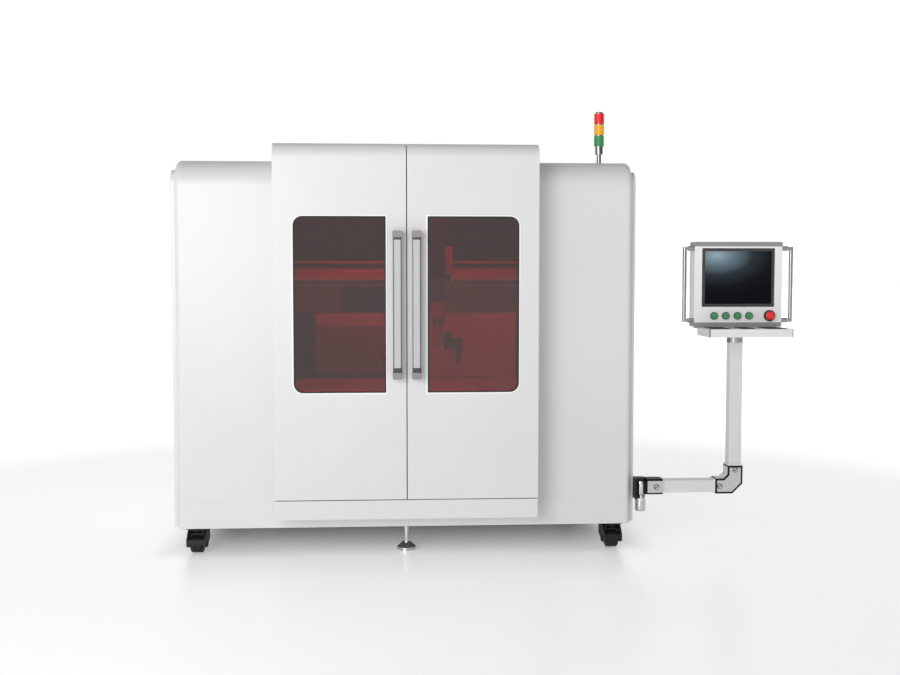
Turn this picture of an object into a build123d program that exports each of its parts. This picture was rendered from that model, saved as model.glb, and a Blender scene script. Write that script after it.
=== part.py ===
"""Enclosed laser cutting machine: a cabinet on casters with a projecting two-leaf door bay, a
five-axis cutting head on a gantry over a clamping table, an operator panel on a swing arm and a
signal tower. Millimetres, +Z up, X along the front, Y from front to back. The origin is the
centre of the front levelling foot's sole, on the machine's centre plane."""

import os
from math import cos, radians, sin

from build123d import *

os.makedirs("parts", exist_ok=True)

# Shared wall, fits and cut overrun
sheet = 3
overrun = 20
running_fit = 0.05
moving_gap = 0.3
seat_gap = 0.2

# Cabinet
cabinet_half_width = 1060
cabinet_depth = 1500
foot_setback = 60
base_bottom = 122
base_height = 100
base_chamfer = 12
skirt_top = 246
seam = 3
wing_top = 1830
wing_round = 118
corner_round = 24
wing_front = -foot_setback
cabinet_back = wing_front + cabinet_depth
base_top = base_bottom + base_height

# Side covers
side_cover_depth = 22
side_cover_front_margin = 40
side_cover_back_margin = 40
side_cover_drop = 44
side_cover_bottom = 150
side_cover_round = 60
side_cover_edge = 3
side_face = cabinet_half_width + side_cover_depth
side_cover_top = wing_top - side_cover_drop

# Door bay
bay_half_width = 600
bay_projection = 150
bay_rise = 62
plinth_bottom = 190
sill = 280
sill_gap = 4
door_gap = 4
door_depth = 70
door_round = 66
door_edge_round = 4
hood_gap = 6
jamb_flange = 25
head_flange = 58
door_front = wing_front - bay_projection
door_back = door_front + door_depth
hood_front = door_back + hood_gap
plinth_top = sill - sill_gap
bay_top = wing_top + bay_rise

# Door windows
window_inner = 94
window_outer = 509
window_bottom = 768
window_head = 329
window_outer_round = 42
window_inner_round = 4
window_rim = 25
window_rim_depth = 12
seal_width = 6
seal_depth = 12
glass_thickness = 6
window_top = bay_top - window_head

# Door handles
handle_inner = 22
handle_width = 43
handle_bottom = 832
handle_drop = 66
handle_end_height = 30
handle_reach = 60
handle_bar_depth = 26
handle_bar_inset = 4
handle_round = 7
handle_top = window_top - handle_drop

# Door pivots
pivot_inset = 10
pivot_depth = 10
pivot_pin_radius = 5
pivot_collar_radius = 9
pivot_pin_length = 26
pivot_web_below_top = 108
pivot_web_width = 90
pivot_arm_width = 16
pivot_arm_height = 6
pivot_arm_lift = 8
return_relief = 25
pivot_x = bay_half_width - pivot_inset
pivot_y = door_back - pivot_depth
pivot_web = bay_top - pivot_web_below_top

# Rear panel
louvre_length = 260
louvre_height = 12
louvre_pitch = 34
louvre_count = 6
louvre_inset = 340
louvre_z = 480
spigot_radius = 75
spigot_length = 60
louvre_x = cabinet_half_width - louvre_inset

# Chamber liner and the units in the wings
wing_room = 210
unit_clearance = 18.5
source_depth = 900
source_height = 620
source_front = 200
controls_depth = 820
controls_height = 1250
controls_front = 260
unit_round = 10
liner_half_width = cabinet_half_width - wing_room
unit_width = wing_room - sheet - 2 * unit_clearance

# Side girders and their rails
girder_inset = 160
girder_width = 100
girder_front = 120
girder_back = 1340
girder_top = 1180
girder_leg = 150
girder_beam = 130
rail_width = 24
rail_height = 24
girder_inner = liner_half_width - girder_inset

# Bed, table and back plate
table_margin = 90
table_front = 40
table_back = 690
table_top = 752
table_thickness = 62
slot_x = 366
slot_width = 22
slot_depth = 22
slot_length = 430
bed_inset = 60
bed_taper = 4
back_plate_top = 1097
back_plate_fold = 36
back_plate_thickness = 5
table_half_width = girder_inner - table_margin

# Fume duct
duct_inset = 27
duct_gap = 4
duct_width = 106
duct_bottom = 811
duct_top = 1087
slat_depth = 40
slat_count = 6
duct_left = duct_inset - table_half_width
back_plate_left = duct_left + duct_width + duct_gap
back_plate_right = table_half_width

# Gantry
beam_front = 550
beam_depth = 140
beam_bottom = 1241
beam_top = 1370
beam_wall = 8
truck_length = 160
truck_width = 70
x_rail_height = 18
x_rail_depth = 14
x_rail_margin = 12
x_rail_end_margin = 50
x_rail_half_length = girder_inner - x_rail_end_margin

# Carriage and Z ram
head_x = 170
carriage_width = 160
carriage_top = 1443
carriage_bottom = 1246
carriage_thickness = 24
carriage_standoff = 6
ram_width = 78
ram_depth = 70
ram_bottom = 1075
ram_collar_height = 88
ram_top = 1600
rib_pitch = 18
rib_height = 7
rib_depth = 6
guide_width = 16
guide_depth = 5.7

# Rotary and tilt head
c_flange_radius = 36
c_flange_height = 12
c_body_radius = 23
c_bottom = 925
c_chamfer = 12
c_shaft_radius = 16
c_shaft_length = 40
tilt_z = 951
tilt_block_start = 33
tilt_block_end = 69
tilt_block_half_depth = 30
tilt_block_bottom = 920
tilt_block_top = 1008
tilt_radius = 26
tilt_length = 57
tilt_shaft_radius = 10
tilt_shaft_length = 22
torch_offset = 108
torch_radius = 14.5
torch_bottom = 873
nozzle_tip = 838
nozzle_tip_radius = 2.5
nozzle_bore_radius = 1

# Swing arm
arm_axis_offset = 36
arm_axis_y = -20
arm_z = 294
arm_tube = 60
arm_wall = 4
bracket_plate = 8
bracket_width = 100
bracket_bottom = 238
bracket_top = 335
hinge_stub = 64
hinge_stub_chamfer = 5
lug_radius = 24
lug_height = 15
hinge_pin_radius = 8
barrel_radius = 24
socket_start = 26
socket_end = 99
socket_size = 74
cover_inset = 9
cover_height = 1.5
mast_reach = 448
elbow_leg = 72
elbow_start = 95
elbow_height = 133
elbow_chamfer = 48
elbow_throat = 20
mast_top = 980
plug_height = 60
arm_axis_x = side_face + arm_axis_offset
mast_x = arm_axis_x + mast_reach

# Operator panel
panel_width = 420
panel_depth = 80
panel_bottom = 1054
panel_top = 1455
panel_front = -60
panel_round = 6
panel_trim_height = 22
panel_trim_depth = 4
screen_width = 347
screen_bottom = 1149
screen_top = 1425
screen_thickness = 4
grab_radius = 9
grab_setback = 9
grab_gap = 36
grab_bottom = 1078
grab_top = 1431
grab_arm_height = 14
coupling_radius = 38
coupling_shaft_radius = 20
coupling_shaft_length = 45
coupling_collar_height = 28
shelf_width = 390
shelf_depth = 200
shelf_height = 37
shelf_tongue_depth = 78
shelf_drop = 1
shelf_gap = 3
shelf_spacer = 50
shelf_lap = 30

# Push buttons and emergency stop
button_z = 1107
button_first = -115
button_pitch = 56
button_count = 4
button_radius = 15
button_height = 9
button_travel = 4
button_stem_radius = 8
button_stem_length = 30
bezel_radius = 18
bezel_height = 8
stop_x = 152
stop_radius = 20
stop_height = 14
stop_travel = 5
stop_stem_radius = 10
stop_collar_radius = 25
stop_collar_height = 6

# Signal tower
tower_inset = 124
tower_y = 140
tower_radius = 24
tower_ring_radius = 18.5
tower_pole_radius = 11
tower_foot_radius = 17
tower_foot_height = 6
tower_pole_height = 44
tower_base_radius = 19
tower_base_height = 39
tower_rod_radius = 6
tower_lens_height = 48
tower_ring_height = 5
tower_cap_height = 9
tower_x = cabinet_half_width - tower_inset

# Casters
caster_inset = 84
caster_setback = 28
caster_plate_width = 120
caster_plate_depth = 100
caster_plate_height = 8
caster_race_radius = 24
caster_race_height = 6
caster_turn = 4
caster_trail = 35
caster_wheel_radius = 40
caster_wheel_width = 57
caster_hub_width = 64
caster_hub_radius = 16
caster_tread_round = 8
fork_width = 87
fork_cheek = 10
fork_crown = 5
fork_crown_reach = 46
fork_window = 12
fork_deck = 8
fork_post_radius = 9.5
fork_heel = 28
fork_heel_bottom = 56
fork_nose = 82
fork_nose_bottom = 34
fork_bridge = 4
fork_bridge_bottom = 42
fork_bridge_top = 68
king_pin_radius = 7
king_head_radius = 11
king_head_height = 5
axle_radius = 6
axle_head_radius = 12
axle_head_height = 4
caster_x = cabinet_half_width - caster_inset

# Levelling feet
foot_radius = 45
foot_rim = 14
foot_crown_radius = 22
foot_height = 34
stud_radius = 12
stud_top_margin = 20
rear_foot_y = cabinet_depth - 2 * foot_setback

sides = {"left": -1, "right": 1}


def save(builder, node):
    """Name a finished piece and write it."""
    builder.part.label = node
    export_step(builder.part, f"parts/{node}.step")


def front_plane(y):
    """A plane facing the front, at depth y, with X across and Z up."""
    return Plane.XZ.offset(-y)


def slab(x, y, z, mode=Mode.ADD):
    """A block between two places on each axis."""
    with Locations((sum(x) / 2, sum(y) / 2, sum(z) / 2)):
        Box(abs(x[1] - x[0]), abs(y[1] - y[0]), abs(z[1] - z[0]), mode=mode)


# Base weldment: a closed deck that carries everything, with a bore for each levelling stud
with BuildPart() as base_frame:
    with BuildSketch(Plane.XY.offset(base_bottom)):
        with Locations((0, wing_front + cabinet_depth / 2)):
            RectangleRounded(
                2 * (cabinet_half_width - sheet),
                cabinet_depth - 2 * sheet,
                corner_round - sheet,
            )
    extrude(amount=base_height)
    chamfer(base_frame.faces().sort_by(Axis.Z)[0].edges(), length=base_chamfer)
    with BuildSketch(Plane.XY.offset(base_bottom)):
        with Locations((0, 0), (0, rear_foot_y)):
            Circle(stud_radius + running_fit)
    extrude(amount=base_height, mode=Mode.SUBTRACT)
save(base_frame, "base_frame")

# Lower panels: a folded skirt round the base, and under the doors a plinth pan, open at its back,
# whose ledge carries the door pivots
with BuildPart() as lower_panels:
    slab((-bay_half_width, bay_half_width), (door_front, wing_front), (plinth_bottom, plinth_top))
    fillet(
        lower_panels.edges().filter_by(Axis.Z).group_by(Axis.Y)[0],
        radius=door_edge_round,
    )
    slab(
        (sheet - bay_half_width, bay_half_width - sheet),
        (door_front + sheet, wing_front + overrun),
        (plinth_bottom + sheet, plinth_top - sheet),
        mode=Mode.SUBTRACT,
    )
    with BuildSketch(Plane.XY.offset(base_bottom)):
        with Locations((0, wing_front + cabinet_depth / 2)):
            RectangleRounded(2 * cabinet_half_width, cabinet_depth, corner_round)
            RectangleRounded(
                2 * (cabinet_half_width - sheet),
                cabinet_depth - 2 * sheet,
                corner_round - sheet,
                mode=Mode.SUBTRACT,
            )
    extrude(amount=skirt_top - base_bottom)
save(lower_panels, "lower_panels")


def wing_block(side, inset, spill):
    """A wing's outer form, or with an inset the hollow inside it, open at foot, back and bay."""
    front = wing_front + inset
    top = wing_top - inset
    radius = wing_round - inset
    back = cabinet_back + spill
    bottom = skirt_top + seam - spill
    start = bay_half_width - spill
    with BuildPart() as block:
        with BuildSketch(Plane.YZ.offset(side * start)):
            with BuildLine():
                CenterArc((front + radius, top - radius), radius, 90, 90)
                Polyline(
                    (front, top - radius),
                    (front, bottom),
                    (back, bottom),
                    (back, top),
                    (front + radius, top),
                )
            make_face()
        extrude(amount=side * (cabinet_half_width - inset - start))
        outer = block.faces().sort_by(Axis.X)[-1 if side > 0 else 0]
        rounded = outer.edges().sort_by(Axis.Z)[1:].sort_by(Axis.Y)[:-1]
        fillet(rounded, radius=corner_round - inset)
    return block.part


# Wing covers: front, rounded brow, roof and side wall folded and rounded as one shell
for name, side in sides.items():
    with BuildPart() as wing_cover:
        add(wing_block(side, 0, 0))
        add(wing_block(side, sheet, overrun), mode=Mode.SUBTRACT)
    save(wing_cover, f"{name}_wing_cover")


def side_block(side, inset, start, reach):
    """A side cover's outer form, or its hollow when inset, between two distances from the centre."""
    front = wing_front + side_cover_front_margin
    back = cabinet_back - side_cover_back_margin
    height = side_cover_top - side_cover_bottom
    with BuildPart() as block:
        with BuildSketch(Plane.YZ.offset(side * start)) as outline:
            with Locations(((front + back) / 2, side_cover_bottom + height / 2)):
                Rectangle(back - front - 2 * inset, height - 2 * inset)
            fillet(outline.vertices().group_by(Axis.Y)[-1], radius=side_cover_round - inset)
        extrude(amount=side * (reach - start))
    return block.part


# Side covers: lift-off pans on the wings' outer walls, with rounded upper corners
for name, side in sides.items():
    with BuildPart() as side_cover:
        add(side_block(side, 0, cabinet_half_width, side_face))
        outer = side_cover.faces().sort_by(Axis.X)[-1 if side > 0 else 0]
        fillet(outer.edges(), radius=side_cover_edge)
        add(
            side_block(side, side_cover_edge + sheet, cabinet_half_width - overrun, side_face - sheet),
            mode=Mode.SUBTRACT,
        )
    save(side_cover, f"{name}_side_cover")

# Bay hood: cheeks, roof and front flange in one folded shell that follows the wings' brow
with BuildPart() as bay_hood:
    with BuildSketch(Plane.YZ.offset(-bay_half_width)):
        with BuildLine():
            CenterArc((wing_front + wing_round, wing_top - wing_round), wing_round, 90, 90)
            Polyline(
                (wing_front, wing_top - wing_round),
                (wing_front, sill),
                (hood_front, sill),
                (hood_front, bay_top),
                (cabinet_back, bay_top),
                (cabinet_back, wing_top),
                (wing_front + wing_round, wing_top),
            )
        make_face()
    extrude(amount=2 * bay_half_width)
    slab(
        (sheet - bay_half_width, bay_half_width - sheet),
        (hood_front + sheet, cabinet_back + overrun),
        (sill - overrun, bay_top - sheet),
        mode=Mode.SUBTRACT,
    )
    slab(
        (jamb_flange - bay_half_width, bay_half_width - jamb_flange),
        (hood_front - overrun, hood_front + overrun),
        (sill - overrun, bay_top - head_flange),
        mode=Mode.SUBTRACT,
    )
save(bay_hood, "bay_hood")

# Rear panel: a stepped plate with louvres and the fume spigot
duct_x = duct_left + duct_width / 2
duct_z = (duct_bottom + duct_top) / 2
with BuildPart() as rear_panel:
    with BuildSketch(front_plane(cabinet_back + sheet)):
        with BuildLine():
            Polyline(
                (-cabinet_half_width, skirt_top + seam),
                (cabinet_half_width, skirt_top + seam),
                (cabinet_half_width, wing_top),
                (bay_half_width, wing_top),
                (bay_half_width, bay_top),
                (-bay_half_width, bay_top),
                (-bay_half_width, wing_top),
                (-cabinet_half_width, wing_top),
                close=True,
            )
        make_face()
    extrude(amount=sheet)
    with BuildSketch(front_plane(cabinet_back + sheet)):
        with Locations((-louvre_x, louvre_z), (louvre_x, louvre_z)):
            with GridLocations(0, louvre_pitch, 1, louvre_count):
                SlotOverall(louvre_length, louvre_height)
    extrude(amount=sheet, mode=Mode.SUBTRACT)
    with BuildSketch(front_plane(cabinet_back + sheet)):
        with Locations((duct_x, duct_z)):
            Circle(spigot_radius)
    extrude(amount=-spigot_length)
    with BuildSketch(front_plane(cabinet_back)):
        with Locations((duct_x, duct_z)):
            Circle(duct_width / 2 - sheet)
    extrude(amount=-(sheet + spigot_length), mode=Mode.SUBTRACT)
save(rear_panel, "rear_panel")

# Chamber liner: floor, back wall and two partitions welded from sheet, open round the duct
with BuildPart() as chamber_liner:
    liner_front = wing_front + sheet
    with BuildSketch(front_plane(liner_front)):
        with BuildLine():
            Polyline(
                (-liner_half_width, wing_top - sheet),
                (-liner_half_width, base_top),
                (liner_half_width, base_top),
                (liner_half_width, wing_top - sheet),
                (liner_half_width - sheet, wing_top - sheet),
                (liner_half_width - sheet, base_top + sheet),
                (sheet - liner_half_width, base_top + sheet),
                (sheet - liner_half_width, wing_top - sheet),
                close=True,
            )
        make_face()
    extrude(amount=liner_front + sheet - cabinet_back)
    slab(
        (-liner_half_width, liner_half_width),
        (cabinet_back - 2 * sheet, cabinet_back - sheet),
        (base_top, wing_top - sheet),
    )
    with BuildSketch(front_plane(cabinet_back)):
        with Locations((duct_x, duct_z)):
            Rectangle(duct_width + 2 * seat_gap, duct_top - duct_bottom + 2 * seat_gap)
    extrude(amount=2 * sheet + overrun, mode=Mode.SUBTRACT)
    slab(
        (-liner_half_width - overrun, liner_half_width + overrun),
        (liner_front - overrun, wing_front + wing_round),
        (wing_top - wing_round, wing_top),
        mode=Mode.SUBTRACT,
    )
save(chamber_liner, "chamber_liner")
liner_floor = base_top + sheet

# Laser source in the left wing, a sealed unit with a fibre outlet on its top
with BuildPart() as laser_source:
    source_x = liner_half_width + (cabinet_half_width - sheet - liner_half_width) / 2
    with BuildSketch(Plane.XY.offset(base_top)):
        with Locations((-source_x, source_front + source_depth / 2)):
            RectangleRounded(unit_width, source_depth, unit_round)
    extrude(amount=source_height)
    with BuildSketch(Plane.XY.offset(base_top + source_height)):
        with Locations((-source_x, source_front + unit_width)):
            Circle(spigot_length / 2)
    extrude(amount=spigot_length)
save(laser_source, "laser_source")

# Control cabinet in the right wing
with BuildPart() as control_cabinet:
    with BuildSketch(Plane.XY.offset(base_top)):
        with Locations((source_x, controls_front + controls_depth / 2)):
            RectangleRounded(unit_width, controls_depth, unit_round)
    extrude(amount=controls_height)
    chamfer(control_cabinet.faces().sort_by(Axis.Z)[-1].edges(), length=unit_round / 2)
save(control_cabinet, "control_cabinet")

# Side girders: portal frames with a rail along each top
with BuildPart() as side_girders:
    for side in sides.values():
        with BuildSketch(Plane.YZ.offset(side * girder_inner)):
            with BuildLine():
                Polyline(
                    (girder_front, liner_floor),
                    (girder_front + girder_leg, liner_floor),
                    (girder_front + girder_leg, girder_top - girder_beam),
                    (girder_back - girder_leg, girder_top - girder_beam),
                    (girder_back - girder_leg, liner_floor),
                    (girder_back, liner_floor),
                    (girder_back, girder_top),
                    (girder_front, girder_top),
                    close=True,
                )
            make_face()
        extrude(amount=side * girder_width)
        rail_x = side * (girder_inner + girder_width / 2)
        slab(
            (rail_x - rail_width / 2, rail_x + rail_width / 2),
            (girder_front, girder_back),
            (girder_top, girder_top + rail_height),
        )
save(side_girders, "side_girders")

# Bed: a tapered cast pedestal under the table
with BuildPart() as bed_pedestal:
    with BuildSketch(Plane.XY.offset(table_top - table_thickness)):
        with Locations((0, (table_front + table_back) / 2)):
            RectangleRounded(
                2 * (table_half_width - bed_inset),
                table_back - table_front - bed_inset,
                bed_inset / 2,
            )
    extrude(amount=-(table_top - table_thickness - liner_floor), taper=bed_taper)
save(bed_pedestal, "bed_pedestal")

# Table: a thick plate with one clamping slot from its front edge, round at its end
with BuildPart() as work_table:
    slab(
        (-table_half_width, table_half_width),
        (table_front, table_back),
        (table_top - table_thickness, table_top),
    )
    with BuildSketch(Plane.XY.offset(table_top)):
        with Locations((slot_x, table_front)):
            SlotOverall(2 * slot_length, slot_width, rotation=90)
    extrude(amount=-slot_depth, mode=Mode.SUBTRACT)
save(work_table, "work_table")

# Back plate: a folded splash plate standing behind the table on the bed's rear edge
with BuildPart() as back_plate:
    with BuildSketch(Plane.YZ.offset(back_plate_left)):
        with BuildLine():
            Polyline(
                (table_back, table_top - table_thickness),
                (table_back, back_plate_top),
                (table_back + back_plate_fold, back_plate_top),
                (table_back + back_plate_fold, back_plate_top - back_plate_fold),
                (table_back + back_plate_fold - back_plate_thickness, back_plate_top - back_plate_fold),
                (table_back + back_plate_fold - back_plate_thickness, back_plate_top - back_plate_thickness),
                (table_back + back_plate_thickness, back_plate_top - back_plate_thickness),
                (table_back + back_plate_thickness, table_top - table_thickness),
                close=True,
            )
        make_face()
    extrude(amount=back_plate_right - back_plate_left)
save(back_plate, "back_plate")

# Fume duct: a channel from behind the table to the spigot, with sloping slats in its mouth
with BuildPart() as fume_duct:
    with BuildSketch(front_plane(table_back)):
        with Locations((duct_x, duct_z)):
            Rectangle(duct_width, duct_top - duct_bottom)
            Rectangle(duct_width - 2 * sheet, duct_top - duct_bottom - 2 * sheet, mode=Mode.SUBTRACT)
    extrude(amount=table_back - cabinet_back)
    slat_step = (duct_top - duct_bottom) / (slat_count + 1)
    for slat in range(1, slat_count + 1):
        slat_top = duct_bottom + slat_step * slat
        with BuildSketch(Plane.YZ.offset(duct_left)):
            with BuildLine():
                Polyline(
                    (table_back, slat_top),
                    (table_back + slat_depth, slat_top - slat_step),
                    (table_back + slat_depth, slat_top - slat_step + sheet),
                    (table_back, slat_top + sheet),
                    close=True,
                )
            make_face()
        extrude(amount=duct_width)
save(fume_duct, "fume_duct")

# Door pivots: stepped pins on the plinth ledge, and arms from the hood's flange with hanging pins
with BuildPart() as door_pivots:
    for side in sides.values():
        spot = (side * pivot_x, pivot_y)
        with BuildSketch(Plane.XY.offset(plinth_top)):
            with Locations(spot):
                Circle(pivot_collar_radius)
        extrude(amount=sill_gap - moving_gap)
        with BuildSketch(Plane.XY.offset(plinth_top)):
            with Locations(spot):
                Circle(pivot_pin_radius)
        extrude(amount=pivot_pin_length)
        with BuildSketch(Plane.XY.offset(pivot_web + sheet + pivot_arm_lift)):
            with Locations((side * pivot_x, (pivot_y + hood_front) / 2)):
                Rectangle(pivot_arm_width - 4 * sheet, hood_front - pivot_y)
            with Locations(spot):
                Circle(pivot_pin_radius + sheet / 3)
            with Locations((side * pivot_x, hood_front - sheet / 2)):
                Rectangle(pivot_arm_width - sheet, sheet)
        extrude(amount=pivot_arm_height)
        with BuildSketch(Plane.XY.offset(pivot_web + sheet + pivot_arm_lift)):
            with Locations(spot):
                Circle(pivot_pin_radius)
        extrude(amount=-pivot_pin_length)
save(door_pivots, "door_pivots")


def door_block(side, inset, spill):
    """A door leaf's outer form with its rolled top, or the hollow inside it, open at the back."""
    front = door_front + inset
    top = bay_top - inset
    radius = door_round - inset
    back = door_back + spill
    start = door_gap / 2 + inset
    with BuildPart() as block:
        with BuildSketch(Plane.YZ.offset(side * start)):
            with BuildLine():
                CenterArc((front + radius, top - radius), radius, 90, 90)
                Polyline(
                    (front, top - radius),
                    (front, sill + inset),
                    (back, sill + inset),
                    (back, top),
                    (front + radius, top),
                )
            make_face()
        extrude(amount=side * (bay_half_width - inset - start))
    return block.part


def window_outline(side, grow):
    """The window's outline, larger by grow on each side, with its outer corners well rounded."""
    with BuildSketch() as outline:
        with Locations((side * (window_inner + window_outer) / 2, (window_bottom + window_top) / 2)):
            Rectangle(window_outer - window_inner + 2 * grow, window_top - window_bottom + 2 * grow)
        columns = outline.vertices().group_by(Axis.X)
        fillet(columns[-1 if side > 0 else 0], radius=window_outer_round + grow)
        columns = outline.vertices().group_by(Axis.X)
        fillet(columns[0 if side > 0 else -1], radius=max(window_inner_round + grow, sheet / 2))
    return outline.sketch


for name, side in sides.items():
    # Door leaf: a folded pan with a rolled top, a window rim, and webs for its two pivots
    with BuildPart() as door:
        add(door_block(side, 0, 0))
        fillet(
            door.edges().filter_by(Axis.Z).group_by(Axis.Y)[0],
            radius=door_edge_round / 2,
        )
        add(door_block(side, sheet, overrun), mode=Mode.SUBTRACT)
        slab(
            (side * (bay_half_width - sheet), side * (bay_half_width + overrun)),
            (door_back - return_relief, door_back + overrun),
            (sill + sheet, bay_top - door_round),
            mode=Mode.SUBTRACT,
        )
        slab(
            (side * (bay_half_width - sheet - pivot_web_width), side * (bay_half_width - sheet)),
            (door_front + sheet, door_back),
            (pivot_web, pivot_web + sheet),
        )
        with BuildSketch(front_plane(door_front + sheet)):
            add(window_outline(side, window_rim))
        extrude(amount=-window_rim_depth)
        with BuildSketch(front_plane(door_front - overrun)):
            add(window_outline(side, 0))
        extrude(amount=-(2 * overrun + sheet), mode=Mode.SUBTRACT)
        with Locations((side * pivot_x, pivot_y, sill), (side * pivot_x, pivot_y, pivot_web)):
            Cylinder(
                pivot_pin_radius + running_fit,
                2 * overrun,
                mode=Mode.SUBTRACT,
            )
    save(door, f"{name}_door")

    # Window seal: a rubber frame lining the opening
    with BuildPart() as window_seal:
        with BuildSketch(front_plane(door_front)):
            add(window_outline(side, 0))
            add(window_outline(side, -seal_width), mode=Mode.SUBTRACT)
        extrude(amount=-seal_depth)
    save(window_seal, f"{name}_window_seal")

    # Window: a tinted pane held in the seal
    with BuildPart() as window:
        with BuildSketch(front_plane(door_front + (seal_depth - glass_thickness) / 2)):
            add(window_outline(side, -seal_width))
        extrude(amount=-glass_thickness)
    save(window, f"{name}_window")

    # Pull handle: a rounded bar between two end blocks that stand on the door
    with BuildPart() as handle:
        handle_x = side * (handle_inner + handle_width / 2)
        for foot_z in (handle_bottom, handle_top - handle_end_height):
            with BuildSketch(front_plane(door_front)):
                with Locations((handle_x, foot_z + handle_end_height / 2)):
                    RectangleRounded(handle_width, handle_end_height, handle_round)
            extrude(amount=handle_reach)
        bar_front = door_front - handle_reach + handle_bar_inset
        with BuildSketch(Plane.XY.offset(handle_bottom + handle_end_height / 2)):
            with Locations((handle_x, bar_front + handle_bar_depth / 2)):
                RectangleRounded(handle_width - handle_bar_inset, handle_bar_depth, handle_round)
        extrude(amount=handle_top - handle_bottom - handle_end_height)
    save(handle, f"{name}_handle")

# Gantry: a hollow beam with trucks over the side rails and two rails on its face
with BuildPart() as gantry_beam:
    beam_half = girder_inner + girder_width
    beam_middle = beam_front + beam_depth / 2
    with BuildSketch(Plane.YZ.offset(-beam_half)):
        with Locations((beam_middle, (beam_bottom + beam_top) / 2)):
            Rectangle(beam_depth, beam_top - beam_bottom)
            Rectangle(
                beam_depth - 2 * beam_wall,
                beam_top - beam_bottom - 2 * beam_wall,
                mode=Mode.SUBTRACT,
            )
    extrude(amount=2 * beam_half)
    for side in sides.values():
        rail_x = side * (girder_inner + girder_width / 2)
        truck_half = truck_width / 2
        truck_y = (beam_middle - truck_length / 2, beam_middle + truck_length / 2)
        slab(
            (rail_x - truck_half, rail_x + truck_half),
            truck_y,
            (girder_top + rail_height / 2, beam_bottom),
        )
        groove_half = rail_width / 2 + moving_gap
        slab(
            (rail_x - groove_half, rail_x + groove_half),
            truck_y,
            (girder_top, girder_top + rail_height + moving_gap),
            mode=Mode.SUBTRACT,
        )
    for rail_z in (beam_bottom + x_rail_margin, beam_top - x_rail_margin - x_rail_height):
        slab(
            (-x_rail_half_length, x_rail_half_length),
            (beam_front - x_rail_depth, beam_front),
            (rail_z, rail_z + x_rail_height),
        )
save(gantry_beam, "gantry_beam")

# Carriage: a plate with grooved trucks that run on the beam's two rails
with BuildPart() as x_carriage:
    carriage_x = (head_x - carriage_width / 2, head_x + carriage_width / 2)
    plate_back = beam_front - x_rail_depth - carriage_standoff
    plate_front = plate_back - carriage_thickness
    slab(carriage_x, (plate_front, plate_back), (carriage_bottom, carriage_top))
    for rail_z in (beam_bottom + x_rail_margin, beam_top - x_rail_margin - x_rail_height):
        slab(
            carriage_x,
            (plate_back, beam_front - x_rail_depth / 2),
            (rail_z - x_rail_margin / 2, rail_z + x_rail_height + x_rail_margin / 2),
        )
        slab(
            carriage_x,
            (beam_front - x_rail_depth - moving_gap, beam_front),
            (rail_z - moving_gap, rail_z + x_rail_height + moving_gap),
            mode=Mode.SUBTRACT,
        )
save(x_carriage, "x_carriage")

# Z ram: a plain collar below a ribbed cover, on two guides against the carriage
with BuildPart() as z_ram:
    ram_back = plate_front - carriage_standoff
    ram_y = ram_back - ram_depth / 2
    rib_start = ram_bottom + ram_collar_height
    with BuildSketch(Plane.XY.offset(ram_bottom)):
        with Locations((head_x, ram_y)):
            Rectangle(ram_width, ram_depth)
    extrude(amount=ram_collar_height)
    with BuildSketch(Plane.XY.offset(rib_start)):
        with Locations((head_x, ram_y)):
            Rectangle(ram_width - 2 * rib_depth, ram_depth - 2 * rib_depth)
    extrude(amount=ram_top - rib_start)
    rib_count = int((ram_top - rib_start) / rib_pitch)
    rib_step = (ram_top - rib_start) / rib_count
    for rib in range(rib_count):
        with BuildSketch(Plane.XY.offset(rib_start + (rib + 1) * rib_step - rib_height)):
            with Locations((head_x, ram_y)):
                Rectangle(ram_width, ram_depth)
        extrude(amount=rib_height)
    for guide_side in sides.values():
        guide_x = head_x + guide_side * (ram_width - guide_width) / 2
        slab(
            (guide_x - guide_width / 2, guide_x + guide_width / 2),
            (ram_back - rib_depth, ram_back + guide_depth),
            (ram_bottom, ram_top),
        )
    with BuildSketch(Plane.XY.offset(ram_bottom)):
        with Locations((head_x, ram_y)):
            Circle(c_shaft_radius + running_fit)
    extrude(amount=c_shaft_length + overrun, mode=Mode.SUBTRACT)
save(z_ram, "z_ram")

# Rotary unit: a flanged body turning under the ram, with a block that carries the tilt shaft
with BuildPart() as c_head:
    c_top = ram_bottom - moving_gap
    with BuildSketch(Plane.XY.offset(c_top)):
        with Locations((head_x, ram_y)):
            Circle(c_flange_radius)
    extrude(amount=-c_flange_height)
    with BuildSketch(Plane.XY.offset(c_top)):
        with Locations((head_x, ram_y)):
            Circle(c_shaft_radius)
    extrude(amount=c_shaft_length)
    with BuildSketch(Plane.XY.offset(c_bottom)):
        with Locations((head_x, ram_y)):
            Circle(c_body_radius)
    extrude(amount=c_top - c_flange_height - c_bottom)
    chamfer(c_head.faces().sort_by(Axis.Z)[0].edges(), length=c_chamfer)
    slab(
        (head_x, head_x + tilt_block_start),
        (ram_y - tilt_block_half_depth / 2, ram_y + tilt_block_half_depth / 2),
        (tilt_z - tilt_shaft_radius, tilt_block_top - c_chamfer),
    )
    slab(
        (head_x + tilt_block_start, head_x + tilt_block_end),
        (ram_y - tilt_block_half_depth, ram_y + tilt_block_half_depth),
        (tilt_block_bottom, tilt_block_top),
    )
    fillet(
        c_head.edges().filter_by(Axis.X).group_by(Axis.Z)[-1],
        radius=c_chamfer / 2,
    )
    with BuildSketch(Plane.YZ.offset(head_x + tilt_block_end)):
        with Locations((ram_y, tilt_z)):
            Circle(tilt_shaft_radius + running_fit)
    extrude(amount=-(tilt_shaft_length + sheet), mode=Mode.SUBTRACT)
save(c_head, "c_head")

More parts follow.
